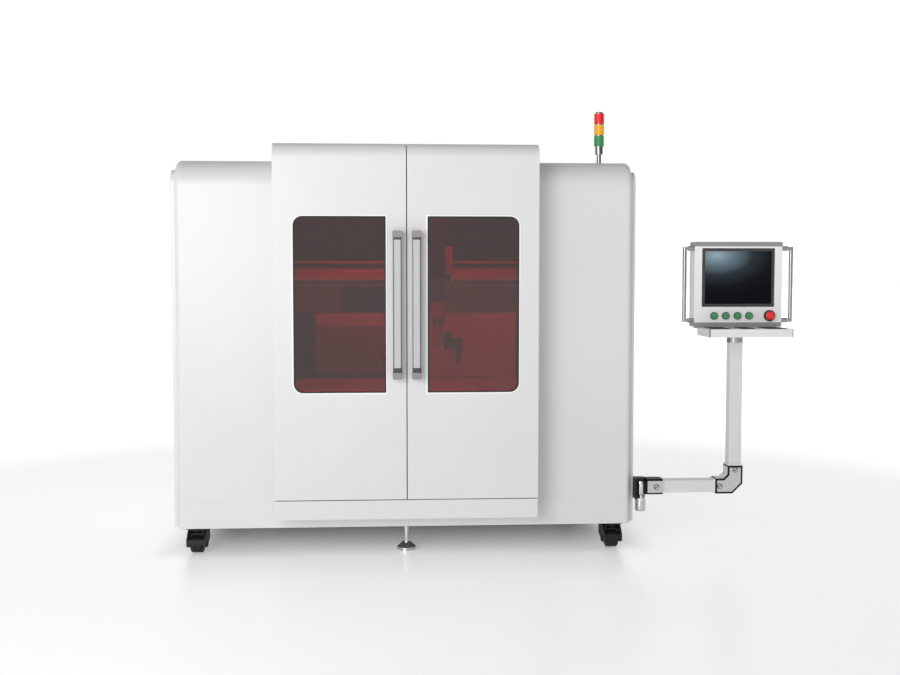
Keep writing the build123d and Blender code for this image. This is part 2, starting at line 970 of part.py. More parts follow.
# Tilt head: a short drum on a stub shaft with the cutting torch below it
with BuildPart() as tilt_head:
    drum_start = head_x + tilt_block_end + moving_gap
    with BuildSketch(Plane.YZ.offset(drum_start)):
        with Locations((ram_y, tilt_z)):
            Circle(tilt_radius)
    extrude(amount=tilt_length)
    chamfer(tilt_head.faces().sort_by(Axis.X)[-1].edges(), length=sheet)
    with BuildSketch(Plane.YZ.offset(drum_start)):
        with Locations((ram_y, tilt_z)):
            Circle(tilt_shaft_radius)
    extrude(amount=-tilt_shaft_length)
    with BuildSketch(Plane.XY.offset(tilt_z)):
        with Locations((head_x + torch_offset, ram_y)):
            Circle(torch_radius)
    extrude(amount=torch_bottom - tilt_z)
save(tilt_head, "tilt_head")

# Nozzle: a turned copper cone with a through bore
with BuildPart() as nozzle:
    torch_axis = (head_x + torch_offset, ram_y, 0)
    with BuildSketch(Plane(torch_axis, x_dir=(1, 0, 0), z_dir=(0, -1, 0))):
        with BuildLine():
            Polyline(
                (nozzle_bore_radius, torch_bottom),
                (torch_radius - sheet, torch_bottom),
                (torch_radius - sheet, torch_bottom - torch_radius / 2),
                (nozzle_tip_radius, nozzle_tip),
                (nozzle_bore_radius, nozzle_tip),
                close=True,
            )
        make_face()
    revolve(axis=Axis(torch_axis, (0, 0, 1)))
save(nozzle, "nozzle")

# Wall bracket: a plate on the right side cover with two lugs, the hinge pin, and a round stub
# hanging below the lower lug
with BuildPart() as arm_bracket:
    with BuildSketch(Plane.XY.offset(bracket_bottom)):
        with Locations((arm_axis_x, arm_axis_y)):
            Circle(lug_radius)
    extrude(amount=-hinge_stub)
    chamfer(arm_bracket.faces().sort_by(Axis.Z)[0].edges(), length=hinge_stub_chamfer)
    slab(
        (side_face, side_face + bracket_plate),
        (arm_axis_y - bracket_width / 2, arm_axis_y + bracket_width / 2),
        (bracket_bottom, bracket_top),
    )
    for lug_z in (bracket_bottom, bracket_top - lug_height):
        with BuildSketch(Plane.XY.offset(lug_z)):
            with Locations((arm_axis_x - arm_axis_offset / 2, arm_axis_y)):
                Rectangle(arm_axis_offset, 2 * lug_radius)
            with Locations((arm_axis_x, arm_axis_y)):
                Circle(lug_radius)
        extrude(amount=lug_height)
    with BuildSketch(Plane.XY.offset(bracket_bottom)):
        with Locations((arm_axis_x, arm_axis_y)):
            Circle(hinge_pin_radius)
    extrude(amount=bracket_top - bracket_bottom)
save(arm_bracket, "arm_bracket")

# Arm socket: a barrel on the hinge pin and a square socket for the tube
with BuildPart() as arm_socket:
    barrel_bottom = bracket_bottom + lug_height + moving_gap
    barrel_top = bracket_top - lug_height - moving_gap
    with BuildSketch(Plane.XY.offset(barrel_bottom)):
        with Locations((arm_axis_x, arm_axis_y)):
            Circle(barrel_radius)
    extrude(amount=barrel_top - barrel_bottom)
    slab(
        (arm_axis_x, arm_axis_x + socket_start),
        (arm_axis_y - barrel_radius, arm_axis_y + barrel_radius),
        (arm_z - socket_size / 2, barrel_top),
    )
    with BuildSketch(Plane.YZ.offset(arm_axis_x + socket_start)):
        with Locations((arm_axis_y, arm_z)):
            RectangleRounded(socket_size, socket_size, handle_round)
    extrude(amount=socket_end - socket_start)
    for face in sides.values():
        with BuildSketch(front_plane(arm_axis_y + face * socket_size / 2)):
            with Locations((arm_axis_x + (socket_start + socket_end) / 2, arm_z)):
                Rectangle(socket_end - socket_start, socket_size - 2 * cover_inset)
        extrude(amount=-face * cover_height)
    with BuildSketch(Plane.XY.offset(barrel_bottom)):
        with Locations((arm_axis_x, arm_axis_y)):
            Circle(hinge_pin_radius + running_fit)
    extrude(amount=barrel_top - barrel_bottom, mode=Mode.SUBTRACT)
save(arm_socket, "arm_socket")

# Arm tubes: the square cross tube and the mast, whose plugged head holds the panel's pivot
with BuildPart() as arm_tubes:
    elbow_bottom = arm_z - elbow_leg / 2
    elbow_top = elbow_bottom + elbow_height
    with BuildSketch(Plane.YZ.offset(arm_axis_x + socket_end)):
        with Locations((arm_axis_y, arm_z)):
            RectangleRounded(arm_tube, arm_tube, arm_wall)
            Rectangle(arm_tube - 2 * arm_wall, arm_tube - 2 * arm_wall, mode=Mode.SUBTRACT)
    extrude(amount=mast_reach - elbow_start - socket_end)
    with BuildSketch(Plane.XY.offset(elbow_top)):
        with Locations((mast_x, arm_axis_y)):
            RectangleRounded(arm_tube, arm_tube, arm_wall)
    extrude(amount=mast_top - elbow_top)
    with BuildSketch(Plane.XY.offset(elbow_top)):
        with Locations((mast_x, arm_axis_y)):
            Rectangle(arm_tube - 2 * arm_wall, arm_tube - 2 * arm_wall)
    extrude(amount=mast_top - plug_height - elbow_top, mode=Mode.SUBTRACT)
    with BuildSketch(Plane.XY.offset(mast_top)):
        with Locations((mast_x, arm_axis_y)):
            Circle(coupling_shaft_radius + running_fit)
    extrude(amount=-plug_height, mode=Mode.SUBTRACT)
save(arm_tubes, "arm_tubes")


def elbow_outline(inset):
    """The elbow's side outline with its chamfered heel and throat, or smaller by an inset."""
    heel = mast_x + elbow_leg / 2
    toe = mast_x - elbow_start
    with BuildSketch() as outline:
        with BuildLine():
            Polyline(
                (toe, elbow_bottom),
                (heel - elbow_chamfer, elbow_bottom),
                (heel, elbow_bottom + elbow_chamfer),
                (heel, elbow_top),
                (heel - elbow_leg, elbow_top),
                (heel - elbow_leg, elbow_bottom + elbow_leg + elbow_throat),
                (heel - elbow_leg - elbow_throat, elbow_bottom + elbow_leg),
                (toe, elbow_bottom + elbow_leg),
                close=True,
            )
        make_face()
        if inset:
            offset(amount=-inset, kind=Kind.INTERSECTION)
    return outline.sketch


# Elbow: a moulded corner with a raised cover plate on each face
with BuildPart() as arm_elbow:
    with BuildSketch(front_plane(arm_axis_y - elbow_leg / 2)):
        add(elbow_outline(0))
    extrude(amount=-elbow_leg)
    for face in sides.values():
        with BuildSketch(front_plane(arm_axis_y + face * elbow_leg / 2)):
            add(elbow_outline(cover_inset))
        extrude(amount=-face * cover_height)
save(arm_elbow, "arm_elbow")

# Swivel coupling: a collar on the mast's head and a neck up to the shelf's tongue
shelf_top = panel_bottom - shelf_drop
tongue_top = shelf_top - sheet
with BuildPart() as panel_coupling:
    collar_bottom = mast_top + moving_gap
    with BuildSketch(Plane.XY.offset(collar_bottom)):
        with Locations((mast_x, arm_axis_y)):
            Circle(coupling_radius)
    extrude(amount=coupling_collar_height)
    with BuildSketch(Plane.XY.offset(collar_bottom)):
        with Locations((mast_x, arm_axis_y)):
            RectangleRounded(arm_tube, arm_tube, arm_wall)
    extrude(amount=tongue_top - sheet - collar_bottom)
    with BuildSketch(Plane.XY.offset(collar_bottom)):
        with Locations((mast_x, arm_axis_y)):
            Circle(coupling_shaft_radius)
    extrude(amount=-coupling_shaft_length)
save(panel_coupling, "panel_coupling")

# Keyboard shelf: a folded plate with lips on three sides, and a tongue welded under it that
# carries the panel on three spacers
with BuildPart() as keyboard_shelf:
    shelf_back = panel_front - panel_trim_depth - shelf_gap
    shelf_front = shelf_back - shelf_depth
    slab(
        (mast_x - shelf_width / 2, mast_x + shelf_width / 2),
        (shelf_front, shelf_back),
        (shelf_top - shelf_height, shelf_top),
    )
    fillet(
        keyboard_shelf.edges().filter_by(Axis.Z).group_by(Axis.Y)[0],
        radius=panel_round,
    )
    slab(
        (mast_x - shelf_width / 2 + sheet, mast_x + shelf_width / 2 - sheet),
        (shelf_front + sheet, shelf_back + overrun),
        (shelf_top - shelf_height - overrun, shelf_top - sheet),
        mode=Mode.SUBTRACT,
    )
    slab(
        (mast_x - shelf_width / 2 + sheet, mast_x + shelf_width / 2 - sheet),
        (shelf_back - shelf_lap, panel_front + shelf_tongue_depth),
        (tongue_top - sheet, tongue_top),
    )
    with BuildSketch(Plane.XY.offset(tongue_top)):
        with Locations((mast_x, panel_front + shelf_tongue_depth / 2)):
            with GridLocations((shelf_width - 2 * shelf_spacer) / 2, 0, 3, 1):
                Rectangle(shelf_spacer, shelf_tongue_depth)
    extrude(amount=panel_bottom - tongue_top)
save(keyboard_shelf, "keyboard_shelf")

# Panel housing: a flat case with proud trims, a screen recess, button bezels and stem bores
button_places = [mast_x + button_first + button_pitch * index for index in range(button_count)]
with BuildPart() as panel_housing:
    with BuildSketch(front_plane(panel_front)):
        with Locations((mast_x, (panel_bottom + panel_top) / 2)):
            RectangleRounded(panel_width, panel_top - panel_bottom, panel_round)
    extrude(amount=-panel_depth)
    for trim_z in (panel_bottom, panel_top - panel_trim_height):
        with BuildSketch(front_plane(panel_front)):
            with Locations((mast_x, trim_z + panel_trim_height / 2)):
                RectangleRounded(panel_width, panel_trim_height, panel_round)
        extrude(amount=panel_trim_depth)
    with BuildSketch(front_plane(panel_front)):
        with Locations((mast_x, (screen_bottom + screen_top) / 2)):
            Rectangle(screen_width + 2 * seat_gap, screen_top - screen_bottom + 2 * seat_gap)
    extrude(amount=-screen_thickness, mode=Mode.SUBTRACT)
    with BuildSketch(front_plane(panel_front)):
        with Locations([(x, button_z) for x in button_places]):
            Circle(bezel_radius)
    extrude(amount=bezel_height)
    with BuildSketch(front_plane(panel_front)):
        with Locations([(x, button_z) for x in button_places]):
            Circle(button_radius + moving_gap)
    extrude(amount=bezel_height, mode=Mode.SUBTRACT)
    with BuildSketch(front_plane(panel_front)):
        with Locations((mast_x + stop_x, button_z)):
            Circle(stop_collar_radius)
    extrude(amount=stop_collar_height)
    with BuildSketch(front_plane(panel_front)):
        with Locations([(x, button_z) for x in button_places]):
            Circle(button_stem_radius + moving_gap)
        with Locations((mast_x + stop_x, button_z)):
            Circle(stop_stem_radius + moving_gap)
    extrude(amount=-(button_stem_length + button_travel), mode=Mode.SUBTRACT)
    with BuildSketch(front_plane(panel_front - stop_collar_height)):
        with Locations((mast_x + stop_x, button_z)):
            Circle(stop_stem_radius + moving_gap)
    extrude(amount=-stop_collar_height, mode=Mode.SUBTRACT)
save(panel_housing, "panel_housing")

# Screen: a flat glass let into the housing
with BuildPart() as panel_screen:
    with BuildSketch(front_plane(panel_front)):
        with Locations((mast_x, (screen_bottom + screen_top) / 2)):
            Rectangle(screen_width, screen_top - screen_bottom)
    extrude(amount=-screen_thickness)
save(panel_screen, "panel_screen")

# Grab handles: a round bar held by two arms on each side of the housing
grab_y = panel_front + grab_setback
with BuildPart() as panel_handles:
    for side in sides.values():
        housing_side = mast_x + side * panel_width / 2
        grab_x = housing_side + side * (grab_gap + grab_radius)
        with BuildSketch(Plane.XY.offset(grab_bottom)):
            with Locations((grab_x, grab_y)):
                Circle(grab_radius)
        extrude(amount=grab_top - grab_bottom)
        for arm_bottom in (grab_bottom, grab_top - grab_arm_height):
            slab(
                (housing_side, grab_x),
                (grab_y - grab_radius, grab_y + grab_radius),
                (arm_bottom, arm_bottom + grab_arm_height),
            )
save(panel_handles, "panel_handles")

# Push buttons: a cap inside its bezel on a stem in the housing
for number, button_x in enumerate(button_places, start=1):
    with BuildPart() as push_button:
        cap_back = panel_front - button_travel - moving_gap
        with BuildSketch(front_plane(cap_back)):
            with Locations((button_x, button_z)):
                Circle(button_radius)
        extrude(amount=button_height)
        fillet(push_button.faces().sort_by(Axis.Y)[0].edges(), radius=button_height / 4)
        with BuildSketch(front_plane(cap_back)):
            with Locations((button_x, button_z)):
                Circle(button_stem_radius)
        extrude(amount=-button_stem_length)
    save(push_button, f"push_button_{number}")

# Emergency stop: a mushroom head on a stem in the housing
with BuildPart() as emergency_stop:
    head_back = panel_front - stop_collar_height - stop_travel - moving_gap
    with BuildSketch(front_plane(head_back)):
        with Locations((mast_x + stop_x, button_z)):
            Circle(stop_radius)
    extrude(amount=stop_height)
    fillet(emergency_stop.faces().sort_by(Axis.Y)[0].edges(), radius=stop_height / 2)
    with BuildSketch(front_plane(head_back)):
        with Locations((mast_x + stop_x, button_z)):
            Circle(stop_stem_radius)
    extrude(amount=-(button_stem_length + stop_collar_height))
save(emergency_stop, "emergency_stop")

# Signal tower: foot, pole, base, rod, rings and cap turned as one, with three lenses between
lens_names = ("green", "amber", "red")
lens_step = tower_lens_height + tower_ring_height
lens_start = wing_top + tower_foot_height + tower_pole_height + tower_base_height
with BuildPart() as signal_base:
    tower_stack = [
        (tower_foot_radius, tower_foot_height),
        (tower_pole_radius, tower_pole_height),
        (tower_base_radius, tower_base_height),
    ]
    for lens in lens_names:
        tower_stack.append((tower_rod_radius, tower_lens_height))
        ring_height = tower_ring_height if lens != lens_names[-1] else tower_cap_height
        tower_stack.append((tower_ring_radius, ring_height))
    level = wing_top
    for radius, height in tower_stack:
        with BuildSketch(Plane.XY.offset(level)):
            with Locations((tower_x, tower_y)):
                Circle(radius)
        extrude(amount=height)
        level += height
    fillet(signal_base.faces().sort_by(Axis.Z)[-1].edges(), radius=tower_cap_height / 2)
save(signal_base, "signal_base")

for index, lens in enumerate(lens_names):
    with BuildPart() as signal_lens:
        with BuildSketch(Plane.XY.offset(lens_start + index * lens_step)):
            with Locations((tower_x, tower_y)):
                Circle(tower_radius)
                Circle(tower_rod_radius + seat_gap, mode=Mode.SUBTRACT)
        extrude(amount=tower_lens_height)
    save(signal_lens, f"signal_{lens}")

# Caster plates: a plate, a ball race and a headed king pin under each corner of the base
caster_back_y = cabinet_depth - 2 * foot_setback - caster_setback
caster_places = {
    "front_left": (-1, caster_setback),
    "front_right": (1, caster_setback),
    "rear_left": (-1, caster_back_y),
    "rear_right": (1, caster_back_y),
}
race_top = base_bottom - caster_plate_height
crown_top = race_top - caster_race_height - moving_gap
deck_top = crown_top - fork_crown - fork_window
deck_bottom = deck_top - fork_deck
king_head_top = deck_bottom - moving_gap
with BuildPart() as caster_plates:
    for side, place_y in caster_places.values():
        spot = (side * caster_x, place_y)
        with BuildSketch(Plane.XY.offset(base_bottom)):
            with Locations(spot):
                RectangleRounded(caster_plate_width, caster_plate_depth, caster_plate_height)
        extrude(amount=-caster_plate_height)
        with BuildSketch(Plane.XY.offset(race_top)):
            with Locations(spot):
                Circle(caster_race_radius)
        extrude(amount=-caster_race_height)
        with BuildSketch(Plane.XY.offset(race_top)):
            with Locations(spot):
                Circle(king_pin_radius)
        extrude(amount=king_head_top - race_top)
        with BuildSketch(Plane.XY.offset(king_head_top)):
            with Locations(spot):
                Circle(king_head_radius)
        extrude(amount=-king_head_height)
save(caster_plates, "caster_plates")

for name, (side, place_y) in caster_places.items():
    # Directions of this caster: across its axle, and from its king pin to its axle
    turn = radians(side * caster_turn)
    across = Vector(cos(turn), sin(turn), 0)
    trail = Vector(sin(turn), -cos(turn), 0)
    pin = Vector(side * caster_x, place_y, 0)
    axle = pin + trail * caster_trail + Vector(0, 0, caster_wheel_radius)
    lift = Vector(0, 0, 1)

    # Fork: a crown and a deck with an open window between them round a post on the king pin, two
    # deep cheeks with a bridge across their front, and the axle bolt through them
    with BuildPart() as caster_fork:
        for level, height in ((crown_top, fork_crown), (deck_top, fork_deck)):
            with BuildSketch(Plane(pin + lift * level, x_dir=trail, z_dir=(0, 0, 1))):
                with Locations(((fork_crown_reach - fork_heel) / 2, 0)):
                    Rectangle(fork_crown_reach + fork_heel, fork_width)
            extrude(amount=-height)
        with BuildSketch(Plane(pin + lift * crown_top, x_dir=trail, z_dir=(0, 0, 1))):
            Circle(fork_post_radius)
        extrude(amount=deck_top - crown_top)
        for cheek_side in sides.values():
            outer_face = pin + across * (cheek_side * fork_width / 2)
            with BuildSketch(Plane(outer_face, x_dir=trail, z_dir=across * -cheek_side)):
                up = cheek_side
                with BuildLine():
                    Polyline(
                        (-fork_heel, up * crown_top),
                        (fork_crown_reach, up * crown_top),
                        (fork_nose, up * fork_bridge_top),
                        (fork_nose, up * fork_nose_bottom),
                        (caster_trail, up * (fork_nose_bottom - axle_head_radius)),
                        (-fork_heel, up * fork_heel_bottom),
                        close=True,
                    )
                make_face()
            extrude(amount=fork_cheek)
        nose_place = pin + trail * fork_nose + lift * ((fork_bridge_bottom + fork_bridge_top) / 2)
        with BuildSketch(Plane(nose_place, x_dir=across, z_dir=trail)):
            Rectangle(fork_width, fork_bridge_top - fork_bridge_bottom)
        extrude(amount=-fork_bridge)
        with BuildSketch(Plane(axle - across * (fork_width / 2), x_dir=trail, z_dir=across)):
            Circle(axle_radius)
        extrude(amount=fork_width)
        for cheek_side in sides.values():
            bolt_face = axle + across * (cheek_side * fork_width / 2)
            with BuildSketch(Plane(bolt_face, x_dir=trail, z_dir=across * cheek_side)):
                Circle(axle_head_radius)
            extrude(amount=axle_head_height)
        with BuildSketch(Plane(pin + lift * crown_top, x_dir=trail, z_dir=(0, 0, 1))):
            Circle(king_pin_radius + running_fit)
        extrude(amount=deck_bottom - crown_top, mode=Mode.SUBTRACT)
    save(caster_fork, f"{name}_caster_fork")

    # Wheel: a rounded tread with hub bosses, on the axle bolt
    with BuildPart() as caster_wheel:
        tread_face = axle - across * (caster_wheel_width / 2)
        with BuildSketch(Plane(tread_face, x_dir=trail, z_dir=across)):
            Circle(caster_wheel_radius)
        extrude(amount=caster_wheel_width)
        fillet(caster_wheel.edges(), radius=caster_tread_round)
        hub_face = axle - across * (caster_hub_width / 2)
        with BuildSketch(Plane(hub_face, x_dir=trail, z_dir=across)):
            Circle(caster_hub_radius)
        extrude(amount=caster_hub_width)
        with BuildSketch(Plane(hub_face, x_dir=trail, z_dir=across)):
            Circle(axle_radius + running_fit)
        extrude(amount=caster_hub_width, mode=Mode.SUBTRACT)
    save(caster_wheel, f"{name}_caster_wheel")

# Levelling feet: a turned pad on a stud that screws into the base
for name, foot_y in {"front": 0, "rear": rear_foot_y}.items():
    with BuildPart() as levelling_foot:
        with BuildSketch(front_plane(foot_y)):
            with BuildLine():
                stud_top = base_top - stud_top_margin
                Polyline(
                    (0, 0),
                    (foot_radius, 0),
                    (foot_radius, foot_rim),
                    (foot_crown_radius, foot_height),
                    (stud_radius, foot_height),
                    (stud_radius, stud_top),
                    (0, stud_top),
                    close=True,
                )
            make_face()
        revolve(axis=Axis((0, foot_y, 0), (0, 0, 1)))
    save(levelling_foot, f"{name}_levelling_foot")
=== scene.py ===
"""Looks of an enclosed laser cutting machine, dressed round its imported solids, in metres."""

import math

import bmesh
import bpy
from mathutils import Matrix, Vector


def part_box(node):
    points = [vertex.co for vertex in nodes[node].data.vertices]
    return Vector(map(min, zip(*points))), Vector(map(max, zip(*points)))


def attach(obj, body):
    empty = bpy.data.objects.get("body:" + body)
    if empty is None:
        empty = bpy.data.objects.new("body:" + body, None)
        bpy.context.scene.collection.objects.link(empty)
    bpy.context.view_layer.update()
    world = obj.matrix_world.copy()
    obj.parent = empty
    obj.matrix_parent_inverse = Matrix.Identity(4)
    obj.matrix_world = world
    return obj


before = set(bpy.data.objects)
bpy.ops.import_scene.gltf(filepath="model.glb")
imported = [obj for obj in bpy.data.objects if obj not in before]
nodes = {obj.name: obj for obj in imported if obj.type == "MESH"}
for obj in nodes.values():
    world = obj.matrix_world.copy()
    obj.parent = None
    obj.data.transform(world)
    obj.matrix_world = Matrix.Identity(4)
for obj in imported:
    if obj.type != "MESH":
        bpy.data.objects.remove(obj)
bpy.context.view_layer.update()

# Camera: stands left of the machine's middle at chest height, looking slightly down and to the
# right, with a short telephoto lens, as the photograph was taken.
camera_data = bpy.data.cameras.new("camera")
camera_data.lens = 44.82
camera_data.sensor_width = 36.0
camera_data.clip_end = 100.0
camera = bpy.data.objects.new("camera", camera_data)
camera.location = (-0.1044, -5.2639, 1.3089)
camera.rotation_euler = (math.radians(86.701), 0.0, math.radians(-3.388))
bpy.context.scene.collection.objects.link(camera)
bpy.context.scene.camera = camera
bpy.context.scene.view_settings.view_transform = "Standard"


# Floor: a wide white studio floor with a painted glow that keeps it pale, left out under the machine so that
# painted shade lies there, and faintly glossy so that the casters mirror in it. It isn't part of the machine.
def new_finish(name, constants):
    """A new material with constants on its shader's own sockets, its node tree and its shader."""
    finish = bpy.data.materials.new(name)
    finish.use_nodes = True
    shader = finish.node_tree.nodes["Principled BSDF"]
    for socket, value in constants.items():
        shader.inputs[socket].default_value = value
    return finish, finish.node_tree, shader


def fade(tree, reading, span, levels):
    """A level that goes evenly from the first of two levels to the second as a reading crosses a span."""
    slope = tree.nodes.new("ShaderNodeMapRange")
    slope.inputs["From Min"].default_value, slope.inputs["From Max"].default_value = span
    slope.inputs["To Min"].default_value, slope.inputs["To Max"].default_value = levels
    tree.links.new(reading, slope.inputs["Value"])
    return slope.outputs["Result"]


def combine(tree, operation, first, second):
    """Two levels put together by a Math node's operation."""
    both = tree.nodes.new("ShaderNodeMath")
    both.operation = operation
    tree.links.new(first, both.inputs[0])
    tree.links.new(second, both.inputs[1])
    return both.outputs["Value"]


floor_span = 600.0
floor_glow, far_glow = 0.33, 0.60
far_span = (1.4, 5.0)
shade_rims = (("X", (0.85, 1.20)), ("X", (-0.85, -1.20)), ("Y", (0.58, -0.15)), ("Y", (1.10, 1.70)))
bpy.ops.object.select_all(action="DESELECT")
bpy.ops.mesh.primitive_plane_add(size=floor_span, location=(0.0, 0.0, 0.0))
floor = bpy.context.object
floor.name = "studio_floor"
floor_finish, floor_tree, floor_shader = new_finish(
    "studio_floor",
    {"Base Color": (0.88, 0.88, 0.88, 1.0), "Roughness": 0.28, "Emission Color": (1.0, 1.0, 1.0, 1.0)},
)
floor_place = floor_tree.nodes.new("ShaderNodeTexCoord")
floor_axes = floor_tree.nodes.new("ShaderNodeSeparateXYZ")
floor_reach = floor_tree.nodes.new("ShaderNodeVectorMath")
floor_reach.operation = "LENGTH"
floor_tree.links.new(floor_place.outputs["Object"], floor_axes.inputs["Vector"])
floor_tree.links.new(floor_place.outputs["Object"], floor_reach.inputs[0])
floor_level = fade(floor_tree, floor_reach.outputs["Value"], far_span, (0.0, far_glow))
# Inside these rims the glow fades out, which leaves painted shade on the floor under the machine.
for axis, rim in shade_rims:
    beyond = fade(floor_tree, floor_axes.outputs[axis], rim, (0.0, floor_glow))
    floor_level = combine(floor_tree, "MAXIMUM", floor_level, beyond)
floor_tree.links.new(floor_level, floor_shader.inputs["Emission Strength"])
floor.data.materials.append(floor_finish)

# Light: a white room that is dimmer overhead and on the right in front, and a large soft box in
# front on the left. The chamber has its own lamps, which show the gantry through the panes.
world = bpy.data.worlds.new("studio")
bpy.context.scene.world = world
world.use_nodes = True
room = world.node_tree
backdrop = room.nodes["Background"]
backdrop.inputs["Color"].default_value = (1.0, 1.0, 1.0, 1.0)
room_place = room.nodes.new("ShaderNodeTexCoord")
room_axes = room.nodes.new("ShaderNodeSeparateXYZ")
room.links.new(room_place.outputs["Generated"], room_axes.inputs["Vector"])
overhead = fade(room, room_axes.outputs["Z"], (0.30, 0.80), (1.02, 0.30))
ahead = fade(room, room_axes.outputs["Y"], (-1.0, -0.3), (1.10, 1.0))
right_hand = fade(room, room_axes.outputs["X"], (0.15, 0.65), (0.0, 0.82))
left_hand = fade(room, room_axes.outputs["X"], (-0.85, -0.40), (0.68, 1.0))
not_behind = fade(room, room_axes.outputs["Y"], (0.15, 0.45), (1.0, 0.0))
right_side = fade(room, combine(room, "MULTIPLY", right_hand, not_behind), (0.0, 1.0), (1.0, 0.0))
room_level = overhead
for level in (ahead, left_hand, right_side):
    room_level = combine(room, "MULTIPLY", room_level, level)
room.links.new(room_level, backdrop.inputs["Strength"])


def soft_box(name, place, target, size, power):
    """A rectangular lamp that shines at a target."""
    lamp = bpy.data.lights.new(name, "AREA")
    lamp.shape = "RECTANGLE"
    lamp.size, lamp.size_y = size
    lamp.energy = power
    holder = bpy.data.objects.new(name, lamp)
    holder.location = place
    aim = Vector(target) - Vector(place)
    holder.rotation_euler = aim.to_track_quat("-Z", "Y").to_euler()
    bpy.context.scene.collection.objects.link(holder)


soft_box("key_box", place=(-2.1, -4.7, 1.9), target=(0.0, 0.0, 1.0), size=(2.2, 2.2), power=98.0)
soft_box("chamber_light", place=(0.0, -0.032, 1.8), target=(0.0, 0.69, 1.0), size=(1.0, 0.06), power=10.6)
soft_box("chamber_low_light", place=(0.0, -0.1, 0.7), target=(0.0, 0.69, 1.1), size=(1.0, 0.04), power=1.15)


# Base: a welded steel deck in grey enamel behind a folded white skirt and, under the doors, a
# white plinth pan. The white coat is sprayed and baked, with a faint orange peel.
def dress(finish, *names):
    """Give solids of the frame a finish in place of their own."""
    for name in names:
        nodes[name].data.materials.clear()
        nodes[name].data.materials.append(finish)


def grey(level):
    """A colour with no tint."""
    return (level, level, level)


def within(tree, axes, bounds):
    """A mask that is one inside a box given as {axis: (low, high)}, in metres."""
    mask = None
    for axis, (low, high) in bounds.items():
        inside = tree.nodes.new("ShaderNodeMath")
        inside.operation = "COMPARE"
        inside.inputs[1].default_value = (low + high) / 2
        inside.inputs[2].default_value = (high - low) / 2
        tree.links.new(axes.outputs[axis], inside.inputs[0])
        level = inside.outputs["Value"]
        mask = level if mask is None else combine(tree, "MULTIPLY", mask, level)
    return mask


def painted(tree, place, colour, zones):
    """A colour that gives way to other colours inside boxes, the later over the earlier."""
    axes = tree.nodes.new("ShaderNodeSeparateXYZ")
    tree.links.new(place.outputs["Object"], axes.inputs["Vector"])
    below = None
    for zone_colour, bounds in zones:
        patch = tree.nodes.new("ShaderNodeMix")
        patch.data_type = "RGBA"
        patch.inputs["A"].default_value = colour + (1.0,)
        patch.inputs["B"].default_value = zone_colour + (1.0,)
        tree.links.new(within(tree, axes, bounds), patch.inputs["Factor"])
        if below is not None:
            tree.links.new(below.outputs["Result"], patch.inputs["A"])
        below = patch
    return below.outputs["Result"]


def coated(name, colour, roughness, zones=(), metallic=0.0, grain=(1.0, 1.0, 1.0), grain_size=450.0,
           relief=0.015, drift=0.03, shine=0.5):
    """A finish with a slow drift of tone and gloss and a fine relief; zones are other colours in boxes."""
    gloss_spread = 0.15
    finish, tree, shader = new_finish(name, {"Metallic": metallic, "Specular IOR Level": shine})
    place = tree.nodes.new("ShaderNodeTexCoord")
    cloud = tree.nodes.new("ShaderNodeTexNoise")
    cloud.inputs["Scale"].default_value = 2.5
    cloud.inputs["Detail"].default_value = 4.0
    tone = tree.nodes.new("ShaderNodeValToRGB")
    tone.color_ramp.elements[0].position = 0.3
    tone.color_ramp.elements[0].color = grey(1.0 - drift) + (1.0,)
    tone.color_ramp.elements[1].position = 0.7
    coat = tree.nodes.new("ShaderNodeMix")
    coat.data_type = "RGBA"
    coat.blend_type = "MULTIPLY"
    coat.inputs["Factor"].default_value = 1.0
    coat.inputs["B"].default_value = colour + (1.0,)
    tree.links.new(place.outputs["Object"], cloud.inputs["Vector"])
    tree.links.new(cloud.outputs["Fac"], tone.inputs["Fac"])
    tree.links.new(tone.outputs["Color"], coat.inputs["A"])
    tree.links.new(coat.outputs["Result"], shader.inputs["Base Color"])
    if zones:
        tree.links.new(painted(tree, place, colour, zones), coat.inputs["B"])
    gloss_levels = (roughness * (1.0 - gloss_spread), roughness * (1.0 + gloss_spread))
    gloss = fade(tree, cloud.outputs["Fac"], (0.0, 1.0), gloss_levels)
    along = tree.nodes.new("ShaderNodeMapping")
    along.inputs["Scale"].default_value = grain
    fine = tree.nodes.new("ShaderNodeTexNoise")
    fine.inputs["Scale"].default_value = grain_size
    skin = tree.nodes.new("ShaderNodeBump")
    skin.inputs["Strength"].default_value = relief
    skin.inputs["Distance"].default_value = 0.001
    tree.links.new(gloss, shader.inputs["Roughness"])
    tree.links.new(place.outputs["Object"], along.inputs["Vector"])
    tree.links.new(along.outputs["Vector"], fine.inputs["Vector"])
    tree.links.new(fine.outputs["Fac"], skin.inputs["Height"])
    tree.links.new(skin.outputs["Normal"], shader.inputs["Normal"])
    return finish


cabinet_white = coated("cabinet_white", grey(0.72), 0.34)
dress(cabinet_white, "lower_panels")
dress(coated("base_enamel", (0.20, 0.21, 0.22), 0.5), "base_frame")


# Casters: black sprayed forks on pressed plates, with moulded black tyres.
# Four hexagon bolts hold each plate to the base.
near = 0.0001


def select_where(piece, part, test):
    """Select the corners, edges or faces whose middle passes a test, which allows an error of near."""
    bpy.ops.mesh.select_mode(type=part)
    bpy.ops.mesh.select_all(action="DESELECT")
    shape = bmesh.from_edit_mesh(piece.data)
    for item in {"VERT": shape.verts, "EDGE": shape.edges, "FACE": shape.faces}[part]:
        if part == "VERT":
            middle = item.co
        elif part == "EDGE":
            middle = (item.verts[0].co + item.verts[1].co) / 2
        else:
            middle = item.calc_center_median()
        item.select_set(bool(test(middle)))
    shape.select_flush_mode()
    bmesh.update_edit_mesh(piece.data)


